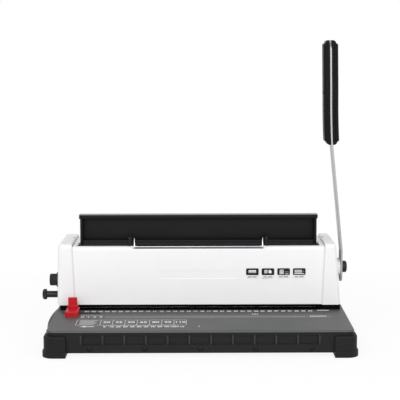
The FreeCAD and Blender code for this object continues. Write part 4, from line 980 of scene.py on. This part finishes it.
@dataclass
class Base:
    """The base tray with its ribbed apron, its shoes and the screws that hold its floor."""

    recipes: Recipes
    front: float = -111.0
    pocket_pitch: float = 25.4
    pocket_count: int = 11
    pocket_middle: float = 20.7
    bead_radius: float = 1.5
    bead_long: float = 9.0
    bead_sunk: float = 0.9
    apron_screw_pitch: float = 65.0
    apron_screw_count: int = 5
    apron_screw_z: float = 9.7
    apron_seat: float = -109.2
    apron_head_high: float = 1.55
    head_radius: float = 2.7
    recess: float = 3.1
    floor_seat: float = 5.3
    floor_head_high: float = 1.8
    floor_places: tuple[Pair, ...] = (
        (-149.0, 101.0), (0.0, 101.0), (149.0, 101.0), (174.0, 65.5), (174.0, -84.0)
    )

    def ribs(self) -> None:
        """Lays a rounded bead along each rib of the apron, in a lighter black than the tray as painted
        highlight.
        """
        ribs = evenly(-self.pocket_pitch * self.pocket_count / 2, self.pocket_pitch, self.pocket_count + 1)
        self.recipes.beads.piece(
            line_mesh([(x, self.front + self.bead_sunk, self.pocket_middle) for x in ribs]), RIB_HIGHLIGHT_BLACK,
            "apron_beads", "machine_frame", "base_black", Radius=self.bead_radius, Length=self.bead_long,
        )

    def screws(self) -> None:
        """Sets the screws of the apron and of the floor plate."""
        first = -self.apron_screw_pitch * (self.apron_screw_count // 2)
        apron = evenly(first, self.apron_screw_pitch, self.apron_screw_count)
        self.recipes.heads.piece(
            line_mesh([(x, self.apron_seat, self.apron_screw_z) for x in apron]), ROD_BLACK,
            "apron_screw_heads", "machine_frame", SLOT_OF["apron_screws"], "apron_screws",
            Radius=self.head_radius, Height=self.apron_head_high, Recess=self.recess,
            Turn=(math.pi / 2, 0, 0),
        )
        self.recipes.heads.piece(
            line_mesh([(x, y, self.floor_seat) for x, y in self.floor_places]), STEEL_ZINC,
            "floor_screw_heads", "machine_frame", SLOT_OF["floor_screws"], "floor_screws",
            Radius=self.head_radius, Height=self.floor_head_high, Recess=self.recess, Turn=(math.pi, 0, 0),
        )

    def build(self) -> None:
        """Builds and dresses the whole base."""
        softened("base_tray", 0.4)
        for end in ("front", "rear"):
            for side in ("left", "right"):
                softened(f"corner_shoe_{end}_{side}", 0.7)
        self.ribs()
        self.screws()


@dataclass(frozen=True)
class NumberRow:
    """A row of plain numbers on the table.

    Attributes:
        count: how many there are.
        first: the first number.
        more: how much more each says than the last.
        high: how high they are.
        x: the first one's middle.
        y: their middle.
        pitch: how far apart they are.
        bold: how far the strokes grow.
        narrow: the share of their usual width.
        digits: how many digits each has at least.
    """

    count: int
    first: int
    more: int
    high: float
    x: float
    y: float
    pitch: float
    bold: float
    narrow: float = 1.0
    digits: int = 1


@dataclass(frozen=True)
class TickRow:
    """A row of short marks on the table.

    Attributes:
        count: how many there are.
        x: the first one's middle.
        y: their middle.
        pitch: how far apart they are.
        wide: how wide they are.
        long: how long they are.
    """

    count: int
    x: float
    y: float
    pitch: float
    wide: float
    long: float


@dataclass
class WorkTable:
    """The work table with its plain printed marks and numbers."""

    recipes: Recipes
    rise: float = 0.05
    sunk: float = 0.05
    mark_thick: float = 0.12
    stripe: Area = (-117.0, 161.0, -45.6, -29.0)
    stripe_rise: float = 0.03
    # The table's slot, whose faces are painted near-black: painted shade inside the slot.
    slot: Span = ((-173.0, -19.0, 20.0), (-122.5, -13.5, TABLE_TOP - 0.02))
    grid_left: float = -149.0
    grid_first: float = -119.8
    grid_pitch: float = 14.71
    grid_cells: int = 7
    grid_low: float = -82.4
    grid_high: float = -55.5
    line_wide: float = 0.55
    rule_half: float = 0.3
    text_lines: int = 4
    text_first: float = 4.6
    text_pitch: float = 5.6
    text_half: float = 0.8
    text_in: Pair = (4.0, 4.5)
    text_shorter: float = 3.0
    bars: tuple[Area, ...] = (
        (-116.8, 128.5, -39.55, -39.05), (146.6, 161.6, -6.0, -2.8), (-2.4, -0.6, -90.8, -88.4)
    )
    arrow: tuple[Pair, ...] = (
        (-143, -90), (-136, -86), (-136, -88.6), (-126, -88.6), (-126, -91.4), (-136, -91.4), (-136, -94)
    )
    tick_rows: tuple[TickRow, ...] = (
        TickRow(14, -146.2, -32.0, 2.0, 0.5, 4.2),
        TickRow(45, -115.2, -85.0, 2.0, 0.55, 4.4),
        TickRow(8, 135.6, -37.5, 2.6, 1.3, 6.0),
        TickRow(3, 65.0, -25.3, 2.8, 1.2, 5.4),
    )
    number_rows: tuple[NumberRow, ...] = (
        NumberRow(
            HOLE_COUNT, 1, 1, 5.2, ROW_X - HOLE_PITCH * (HOLE_COUNT - 1) / 2, -8.0, HOLE_PITCH, 0.42, 0.74, 2
        ),
        NumberRow(grid_cells, 20, 15, 8.2, grid_first + grid_pitch / 2, -67.45, grid_pitch, 0.3, 0.78),
        NumberRow(4, 0, 1, 5.4, -144.6, -39.0, 7.6, 0.2),
        NumberRow(12, 0, 10, 5.0, -113.4, -91.4, 8.2, 0.3, 0.8),
    )

    def grid_bars(self) -> list[Area]:
        """Gives the grid's long bars.

        Returns:
            The left, right, front and back of its left end, its two long rules and its lines of text.
        """
        right = self.grid_first + self.grid_pitch * self.grid_cells
        bars = [(self.grid_left, self.grid_left + self.line_wide, self.grid_low, self.grid_high)]
        for y in (self.grid_low, self.grid_high):
            bars.append((self.grid_left, right, y - self.rule_half, y + self.rule_half))
        start = self.grid_left + self.text_in[0]
        lines = evenly(self.grid_high - self.text_first, -self.text_pitch, self.text_lines)
        for index, y in enumerate(lines):
            end = self.grid_first - self.text_in[1] - self.text_shorter * (index % 2)
            bars.append((start, end, y - self.text_half, y + self.text_half))
        return bars

    def prints(self) -> None:
        """Prints the numbers, the marks, the bars and the arrow."""
        blank = Blank(PRINT_WHITE)
        for row in self.number_rows:
            for index, x in enumerate(evenly(row.x, row.pitch, row.count)):
                text = f"{row.first + row.more * index:0{row.digits}d}"
                blank.words(text, row.high, (x, row.y, TABLE_TOP), bold=row.bold, narrow=row.narrow)
        middle, long = (self.grid_low + self.grid_high) / 2, self.grid_high - self.grid_low
        grid = TickRow(self.grid_cells + 1, self.grid_first, middle, self.grid_pitch, self.line_wide, long)
        for row in (grid, *self.tick_rows):
            blank.take(self.recipes.marks.mesh(
                line_mesh([]), PRINT_WHITE, Count=row.count, Start=(row.x, row.y, TABLE_TOP),
                Step=(row.pitch, 0, 0), Size=(row.wide, row.long, self.mark_thick),
            ))
        outlines = [rectangle(*bar) for bar in (*self.grid_bars(), *self.bars)]
        for outline in (*outlines, self.arrow):
            blank.prism(Axis.Z, outline, TABLE_TOP - self.sunk, TABLE_TOP + self.rise)
        blank.piece("table_print", "machine_frame", "cover_white")

    def build(self) -> None:
        """Builds and dresses the table, with painted shade in its slot."""
        # The slot's faces are painted near-black as painted shade.
        repaint(softened("work_table", 0.35), TOOL_BLACK_AND_SHADE, *self.slot)
        band = Blank(STRIPE_GREY)
        band.prism(Axis.Z, rectangle(*self.stripe), TABLE_TOP - self.sunk, TABLE_TOP + self.stripe_rise)
        band.piece("table_stripe", "machine_frame", "table_black")
        self.prints()


@dataclass
class ChipDrawer:
    """The drawer that catches the punched chips, with ridges on its finger grip."""

    recipes: Recipes
    front: float = -85.0
    back: float = 29.0
    shoulder: float = -181.7
    tip: float = -185.6
    ridges: int = 11
    ridge_pitch: float = 4.2
    ridge_sunk: float = 0.35
    ridge_radius: float = 0.8
    ridge_long: float = 9.0
    ridge_z: float = 21.4

    def ridge_places(self) -> list[Corner]:
        """Finds where the ridges stand.

        Returns:
            Their middles along the grip's arc.
        """
        middle = (self.front + self.back) / 2
        half = (self.back - self.front) / 2
        bulge = self.shoulder - self.tip
        radius = (half * half + bulge * bulge) / (2 * bulge)
        places = []
        for index in range(self.ridges):
            away = (index - (self.ridges - 1) / 2) * self.ridge_pitch
            x = self.tip + radius - math.sqrt(radius * radius - away * away)
            places.append((x + self.ridge_sunk, middle + away, self.ridge_z))
        return places

    def build(self) -> None:
        """Builds and dresses the drawer."""
        softened("drawer_grip", 0.6)
        softened("chip_drawer", 0.3)
        self.recipes.beads.piece(
            line_mesh(self.ridge_places()), DRAWER_BLACK, "drawer_grip_ridges", "drawer", "drawer_black",
            Radius=self.ridge_radius, Length=self.ridge_long,
        )


@dataclass
class EdgeGuide:
    """The red edge guide, whose foot clears the print that it slides over."""

    middle: float = -158.0
    round_edge: float = 0.6
    print_room: float = 0.12
    rim_half: Pair = (8.0, 9.0)
    rim_in: Pair = (0.55, 1.1)
    block_top: float = 38.6
    step_top: float = 41.8
    tab_shift: float = 0.9

    def shift(self, x: float, y: float, z: float) -> Corner:
        """Brings the foot's sides in, the tab a little to the left and the foot off the print.

        Args:
            x: a corner's place from left to right.
            y: its place from front to back.
            z: its height.

        Returns:
            How far it moves.
        """
        away = abs(x - self.middle)
        inward = 0.0
        if away > self.rim_half[0] - 0.1:
            top_in, side_in = self.rim_in
            close = top_in + (side_in - top_in) * share_of(away, *self.rim_half)
            inward = math.copysign(close, self.middle - x)
        tab = self.tab_shift * share_of(z, self.block_top, self.step_top)
        return inward - tab, 0.0, self.print_room if abs(z - TABLE_TOP) < 0.05 else 0.0

    def build(self) -> None:
        """Builds and dresses the guide."""
        nudge(softened("edge_guide", self.round_edge, held=True), self.shift)


def lean_at(z: float) -> float:
    """Gives how far the left cap's side leans out at a height."""
    return CAP_LEAN * share_of(z, CAP_TOP, CAP_FOOT)


# A flat shape of a sign, its finish and how far it stands out
Sign = tuple[Outline, Finish, float]


@dataclass
class Housing:
    """The covers, the end caps with their sills, the badges and the screws seen outside."""

    recipes: Recipes
    lean_inner: float = -170.0
    lean_outer: float = -177.6
    seam_foot: float = 155.25
    seam_lean: float = 3 / 74
    seam_top: float = DECK_TOP - 0.6
    seam_half: float = 1.1
    seam_front: float = -0.05
    seam_back: float = 1.2
    strip: Span = ((-50.4, 0.35, 72.2), (47.2, 0.9, 82.3))
    badge_first: float = 57.6
    badge_pitch: float = 19.6
    badge_wide: float = 15.8
    badge_low: float = 72.2
    badge_high: float = 12.7
    badge_front: float = -0.2
    badge_back: float = 0.6
    badge_round: float = 1.6
    badge_bevel: float = 0.12
    badge_strip: float = 4.0
    face_rise: float = 0.06
    sign_rise: float = 0.12
    detail_rise: float = 0.2
    bar_ends: tuple[Pair, ...] = ((0.14, 0.44), (0.5, 0.84))
    bar_drop: Pair = (2.6, 1.5)
    roof_screw_x: float = 160.92
    roof_screw_y: float = 56.0
    roof_seat: float = 114.7
    rear_screw_x: Pair = (45.0, 135.0)
    rear_face: float = 106.5
    rear_screw_z: float = 42.0

    def lean_shift(self, x: float, y: float, z: float) -> Corner:
        """Leans the left cap's side out towards its foot."""
        return -lean_at(z) * share_of(x, self.lean_inner, self.lean_outer), 0.0, 0.0

    def seams(self) -> None:
        """Lays soft grey strips over the seams between the front cover and the end caps: painted shade of the
        rounded seam edges.
        """
        blank = Blank(SEAM_SHADE_GREY)
        for side in (-1, 1):
            outline = []
            for z, way in ((CAP_FOOT, -1), (CAP_FOOT, 1), (self.seam_top, 1), (self.seam_top, -1)):
                middle = self.seam_foot + (z - CAP_FOOT) * self.seam_lean
                outline.append((ROW_X + side * middle + way * self.seam_half, z))
            blank.prism(Axis.Y, outline, self.seam_front, self.seam_back)
        blank.piece("seam_shade_strips", "machine_frame", "cover_white")

    def name_strip(self) -> None:
        """Lays the bare plate in the front cover's recess."""
        blank = Blank(HOUSING_WHITE)
        blank.box(*self.strip)
        blank.piece("name_strip_plate", "machine_frame", "cover_white")

    def signs(self) -> list[list[Sign]]:
        """Draws the badges' four signs about the middle of a face.

        Returns:
            The flat shapes of a sheet with square holes, of two sheets, of a stack with its level and of
            wire loops.
        """
        white, grey = (CAP_WHITE, self.sign_rise), (BADGE_GREY_AND_SHADE, self.sign_rise)
        black = (BADGE_BLACK, self.detail_rise)
        holes = [(rectangle(-4.6, 4.6, -1.3, 2.1), *white)]
        holes += [(rectangle(left, left + 0.9, -0.9, 0.3), *black) for left in evenly(-4.0, 1.4, 6)]
        folded = [(0.8, -1.8), (4.4, -1.8), (4.4, 1), (3.2, 2.2), (0.8, 2.2)]
        sheets = [(rectangle(-4.4, -0.8, -1.8, 2.2), *white), (folded, *white)]
        sheets += [(rectangle(-3.8, -1.4, low, low + 0.7), *black) for low in evenly(-0.9, 1.5, 2)]
        stack = [
            ([(-5.6, low), (-0.4, low), (0.6, low + 0.9), (-4.6, low + 0.9)], *white)
            for low in evenly(-2.9, 1.5, 4)
        ]
        stack += [(rectangle(1.8, 6.2, -0.7, 0.2), *grey), (rectangle(1.8, 6.2, -3.0, -2.4), *white)]
        loops = [
            (rounded_rectangle(middle + side - 0.3, middle + side + 0.3, -1.4, 2.6, 0.28), *white)
            for middle in evenly(-4.8, 2.3, 4)
            for side in (-0.55, 0.55)
        ]
        loops += [(rectangle(-6.2, 6.2, -2.9, -2.0), *white), (rectangle(3.6, 6.2, 0.2, 1.1), *grey)]
        return [holes, sheets, stack, loops]

    def badges(self) -> None:
        """Builds the four badges: a black face with a plain sign over a white strip with grey bars."""
        blank = Blank(BADGE_BLACK, CAP_WHITE, BADGE_GREY_AND_SHADE)
        split, top = self.badge_low + self.badge_strip, self.badge_low + self.badge_high
        for index, sign in enumerate(self.signs()):
            left = self.badge_first + self.badge_pitch * index
            right = left + self.badge_wide
            outline = rounded_rectangle(left, right, self.badge_low, top, self.badge_round)
            blank.prism(Axis.Y, outline, self.badge_front, self.badge_back, self.badge_bevel, CAP_WHITE)
            face = rounded_rectangle(left, right, split, top, self.badge_round)
            shapes = [(face, BADGE_BLACK, self.face_rise)]
            x, z = (left + right) / 2, (split + top) / 2
            for shape, finish, rise in sign:
                shapes.append(([(x + across, z + up) for across, up in shape], finish, rise))
            low, high = split - self.bar_drop[0], split - self.bar_drop[1]
            for start, end in self.bar_ends:
                bar = rectangle(left + self.badge_wide * start, left + self.badge_wide * end, low, high)
                shapes.append((bar, BADGE_GREY_AND_SHADE, self.sign_rise))
            for shape, finish, rise in shapes:
                blank.prism(Axis.Y, shape, self.badge_front - rise, self.badge_front + 0.1, finish=finish)
        blank.piece("badge_plates", "machine_frame", "badge_black", "badges")

    def screws(self) -> None:
        """Sets the screws of the end caps' roofs and of the rear cover."""
        roof = [(ROW_X + side * self.roof_screw_x, self.roof_screw_y, self.roof_seat) for side in (-1, 1)]
        self.recipes.heads.piece(
            line_mesh(roof), STEEL_DARK_AND_SHADE, "roof_screw_heads", "machine_frame", SLOT_OF["roof_screws"],
            "roof_screws", Radius=1.95, Height=1.2, Recess=2.3, Turn=(0, 0, math.pi / 4),
        )
        rear = [
            (ROW_X + side * x, self.rear_face, self.rear_screw_z)
            for side in (-1, 1)
            for x in self.rear_screw_x
        ]
        self.recipes.heads.piece(
            line_mesh(rear), STEEL_DARK_AND_SHADE, "rear_screw_heads", "machine_frame", SLOT_OF["rear_screws"],
            "rear_screws", Radius=2.75, Height=1.45, Recess=3.1, Turn=(-math.pi / 2, 0, 0),
        )

    def build(self) -> None:
        """Builds and dresses the housing."""
        softened("front_cover", 0.35)
        self.seams()
        self.name_strip()
        softened("rear_cover", 0.3)
        nudge(softened("end_cap_left", 0.35), self.lean_shift)
        softened("end_cap_right", 0.35)
        # The sills get the near-black tool finish: partly their own black, partly painted shade of the
        # throat.
        for side in ("left", "right"):
            softened("housing_sill_" + side, 0.4, TOOL_BLACK_AND_SHADE)
        self.badges()
        self.screws()


@dataclass
class PunchUnit:
    """The return springs of the punch."""

    recipes: Recipes
    spring_x: float = 112.0
    spring_y: float = 12.0
    spring_radius: float = 4.0
    spring_wire: float = 0.6
    spring_turns: float = 9.0
    spring_low: float = 75.615
    spring_high: float = 101.75

    def build(self) -> None:
        """Winds the springs."""
        self.recipes.coils.piece(
            line_mesh([(ROW_X + side * self.spring_x, self.spring_y, self.spring_low) for side in (-1, 1)]),
            SPRING_STEEL, "return_coils", "punch", SLOT_OF["return_springs"], "return_springs",
            smooth=WIRE_ANGLE, Turns=self.spring_turns, Radius=self.spring_radius, Wire=self.spring_wire,
            Height=self.spring_high - self.spring_low,
        )


@dataclass
class WireCloser:
    """The channel that comes down on the loops, the fixed jaw under it and the loops' holder."""

    recipes: Recipes
    half: float = 148.5
    over: float = 1.0
    top: float = 151.8
    front: float = 7.4
    back: float = 22.0
    sheet: float = 2.0
    lip_high: float = 5.0
    lip_thick: float = 1.6
    bend: float = 0.8
    web_foot: float = 107.9
    cheek_front: float = 9.0
    cheek_thick: float = 3.0
    cheek_foot: float = 104.81
    cheek_bevel: float = 0.5
    leg_x: float = 127.0
    leg_wide: float = 16.0
    leg_foot: float = 67.4
    leg_bevel: float = 0.4
    bail_sides: Pair = (-82.2, 78.4)
    bail_ends: Pair = (-87.6, 83.1)
    bail_foot: Pair = (2.2, 112.55)
    bail_pivot: Pair = (4.6, 122.9)
    bail_bend: float = 0.8
    foot_run: float = 4
    wire_half: float = 1.3
    arm_half: float = 1.2
    tip_half: float = 0.32
    # A grey strip under the wire's crossbar: painted shadow between the wire and the cover.
    shade_strip: Span = ((-83.0, 0.9, 109.75), (79.0, 3.6, 110.7))
    shade_strip_bevel: float = 0.15

    def bent(self, outline: Outline, left: float, long: float) -> Mesh:
        """Bends one sheet along X.

        Args:
            outline: the section as Y and Z.
            left: where the sheet starts.
            long: how long it is.

        Returns:
            The sheet's mesh in the drawing's millimetres.
        """
        joins = [(index, (index + 1) % len(outline)) for index in range(len(outline))]
        start = line_mesh([(y, z, 0.0) for y, z in outline], joins)
        mesh = self.recipes.sheet.mesh(start, CLOSER_BLACK, Bend=self.bend, Length=long)
        mesh.transform(Matrix.Translation((left, 0, 0)))
        return mesh

    def channel(self) -> None:
        """Builds the moving channel: flange with lip, web, cheeks and legs, with a lighter grey on its top
        faces as painted sheen.
        """
        low, high = ROW_X - self.half, ROW_X + self.half
        under, inner = self.top - self.sheet, self.back - self.sheet
        lip_back, lip_foot = self.front + self.lip_thick, self.top - self.lip_high
        blank = Blank(CLOSER_BLACK)
        flange = [
            (self.front, lip_foot), (lip_back, lip_foot), (lip_back, under), (self.back, under),
            (self.back, self.top), (self.front, self.top),
        ]
        blank.take(self.bent(flange, low - self.over, 2 * (self.half + self.over)))
        web = rectangle(inner, self.back, self.web_foot, under + 0.4)
        blank.take(self.bent(web, low, 2 * self.half))
        for x in (low, high - self.cheek_thick):
            end = (x + self.cheek_thick, self.back, self.top - 1.0)
            blank.box((x, self.cheek_front, self.cheek_foot), end, self.cheek_bevel)
        for x in (ROW_X - self.leg_x, ROW_X + self.leg_x):
            end = (x + self.leg_wide / 2, self.back, self.web_foot + 1)
            blank.box((x - self.leg_wide / 2, inner, self.leg_foot), end, self.leg_bevel)
        channel = blank.piece("closer_channel", "closer", "closer_black", "closer_jaw")
        lowest = (low - 2 * self.over, self.front - 1, self.top - 1)
        highest = (high + 2 * self.over, self.back + 1, self.top + 1)
        # The top faces get the lighter grey: painted sheen.
        repaint(channel, CLOSER_TOP_SHEEN, lowest, highest, (0, 0, 1))

    def bail(self) -> None:
        """Bends the loops' holder from one wire whose arms taper upwards, and lays a grey strip under it as a
        painted shadow below the wire.
        """
        (left, right), (left_end, right_end), pivot_z = self.bail_sides, self.bail_ends, self.bail_pivot[1]
        line = [
            ((left_end, *self.bail_pivot), self.tip_half),
            ((left, *self.bail_pivot), self.tip_half),
            ((left, *self.bail_foot), self.arm_half),
            ((left + self.foot_run, *self.bail_foot), self.wire_half),
            ((right - self.foot_run, *self.bail_foot), self.wire_half),
            ((right, *self.bail_foot), self.arm_half),
            ((right, *self.bail_pivot), self.tip_half),
            ((right_end, *self.bail_pivot), self.tip_half),
        ]
        joins = [(index, index + 1) for index in range(len(line) - 1)]
        start = line_mesh([place for place, _ in line], joins)
        start.attributes.new("thick", "FLOAT", "POINT").data.foreach_set("value", [half for _, half in line])
        wire = self.recipes.wire.piece(
            start, BAIL_PLATED, "bail_wire", "bail", "bail_plated", "wire_bail", smooth=WIRE_ANGLE,
            Bend=self.bail_bend,
        )
        for start_x, end_x in ((left_end - 1, left - 0.6), (right + 0.6, right_end + 1)):
            repaint(wire, CLOSER_BLACK, (start_x, 0, pivot_z - 1.0), (end_x, 9, pivot_z + 1.0))
        # The grey strip under the crossbar is painted shadow.
        strip = Blank(BADGE_GREY_AND_SHADE)
        strip.box(*self.shade_strip, self.shade_strip_bevel)
        strip.piece("bail_shade_strip", "machine_frame", "badge_black")

    def build(self) -> None:
        """Builds and dresses the closer."""
        self.channel()
        softened("lower_jaw", 0.25)
        self.bail()


@dataclass
class Handle:
    """The bent bar, its grip with domed rivets, and the collar."""

    recipes: Recipes
    grip_foot: float = 236.9
    grip_long: float = 131.5
    bow_z: float = 305.4
    top_x: float = 164.3
    foot_x: float = 167.4
    extra_bow: float = 1.2
    # The bar's inner face that is painted dark steel: painted shade.
    shaded: Span = ((177.0, 30.0, 55.0), (181.0, 54.0, 125.0))
    rivet_shares: tuple[float, ...] = (0.15, 0.5, 0.85)
    rivet_radius: float = 2.5
    rivet_long: float = 18.6
    dome: float = 0.7

    def bow_shift(self, x: float, y: float, z: float) -> Corner:
        """Bows the grip a little more to the right in its middle."""
        share = share_of(z, self.grip_foot, self.grip_foot + self.grip_long)
        return self.extra_bow * math.sin(math.pi * share), 0.0, 0.0

    def middle_x(self, z: float) -> float:
        """Gives the bent bar's middle in X at a height in the grip."""
        left = max(self.bow_z - z, 0.0) / (self.bow_z - self.grip_foot)
        return self.top_x + (self.foot_x - self.top_x) * left * left + self.bow_shift(0, 0, z)[0]

    def build(self) -> None:
        """Builds and dresses the handle, with painted shade on the bar's inner face."""
        bar = softened("handle_bar", 0.5)
        # The bar's inner face is painted dark steel as painted shade.
        repaint(bar, STEEL_DARK_AND_SHADE, *self.shaded, (-1, 0, 0))
        softened("shaft_collar", 0.4, CAP_WHITE)
        for piece in (bar, softened("grip_half_inner", 0.3), softened("grip_half_outer", 0.3)):
            nudge(piece, self.bow_shift)
        heights = [self.grip_foot + self.grip_long * share for share in self.rivet_shares]
        self.recipes.rivets.piece(
            line_mesh([(self.middle_x(z), SHAFT_Y, z) for z in heights]), STEEL_DARK_AND_SHADE,
            "grip_rivet_domes", "handle", SLOT_OF["grip_rivets"], "grip_rivets",
            Radius=self.rivet_radius, Length=self.rivet_long, Dome=self.dome, Turn=(0, math.pi / 2, 0),
        )


@dataclass
class SideControls:
    """The size knob with its dial, and the margin rod's knurled head."""

    knob_still: float = -188.0
    flange_left: float = -180.0
    cap_room: float = 1.3
    pointer: Span = ((-190.05, 15.5, 69.7), (-189.7, 16.5, 74.5))
    dial_x: float = -178.0
    dial_middle: Pair = (16.0, 68.3)
    dial_radius: float = 11.7
    dial_numbers: int = 4
    number_high: float = 2.9
    head_left: float = -201.5
    head_right: float = -196.5
    head_radius: float = 6.7
    head_bevel: float = 1.4
    head_middle: Pair = (30.0, 46.6)
    knurls: int = 36
    knurl_deep: float = 0.35

    def clear(self, x: float, y: float, z: float) -> Corner:
        """Brings the knob's flange off the cap's leaning side."""
        return -self.cap_room * share_of(x, self.knob_still, self.flange_left), 0.0, 0.0

    def knob(self) -> None:
        """Softens the knob and lays its white pointer line on its end."""
        nudge(softened("selector_knob", 0.25), self.clear)
        blank = Blank(PRINT_WHITE)
        blank.box(*self.pointer)
        blank.piece("knob_pointer", "selector", "cover_white")

    def dial(self) -> None:
        """Prints the four sizes round the knob on the left cap."""
        blank = Blank(BADGE_GREY_AND_SHADE)
        for index in range(self.dial_numbers):
            turn = 2 * math.pi * index / self.dial_numbers
            y = self.dial_middle[0] - self.dial_radius * math.sin(turn)
            z = self.dial_middle[1] + self.dial_radius * math.cos(turn)
            place = (self.dial_x - lean_at(z), y, z)
            blank.words(str(index + 1), self.number_high, place, (90, 0, -90), thick=0.15, bold=0.08)
        blank.piece("size_numbers", "machine_frame", "badge_black")

    def rod_head(self) -> None:
        """Turns the margin rod's head with a knurled rim."""
        y, z = self.head_middle
        valley = self.head_radius - self.knurl_deep
        rim = []
        for index in range(2 * self.knurls):
            turn = math.pi * index / self.knurls
            radius = valley if index % 2 else self.head_radius
            rim.append((y + radius * math.cos(turn), z + radius * math.sin(turn)))
        inner, face = self.head_left + self.head_bevel, self.head_radius - self.head_bevel
        blank = Blank(SLOT_FINISH[SLOT_OF["margin_rod_head"]])
        blank.prism(Axis.X, rim, inner, self.head_right)
        blank.turned(
            Axis.X,
            [(inner + 0.3, 0.0), (inner + 0.3, valley), (inner, valley), (self.head_left + 0.25, face + 0.15),
             (self.head_left, face - 0.25), (self.head_left, face - 1.0), (self.head_left + 0.35, face - 1.4),
             (self.head_left + 0.35, 0.0)],
            self.head_middle,
        )
        blank.piece("margin_head_knurled", "margin", SLOT_OF["margin_rod_head"], "margin_rod_head")

    def build(self) -> None:
        """Builds and dresses the controls."""
        self.knob()
        self.dial()
        self.rod_head()


def dress_nodes() -> None:
    """Gives every node that is still seen its finish."""
    for name, node in frame["nodes"].items():
        for place in node.material_slots:
            place.material = SLOT_FINISH[SLOT_OF[name]].material()


def main() -> None:
    """Builds the scene."""
    logging.basicConfig(level=logging.INFO)
    Studio().build()
    dress_nodes()
    recipes = Recipes()
    Base(recipes).build()
    WorkTable(recipes).build()
    ChipDrawer(recipes).build()
    EdgeGuide().build()
    Housing(recipes).build()
    PunchUnit(recipes).build()
    WireCloser(recipes).build()
    Handle(recipes).build()
    SideControls().build()


if __name__ == "__main__":
    main()
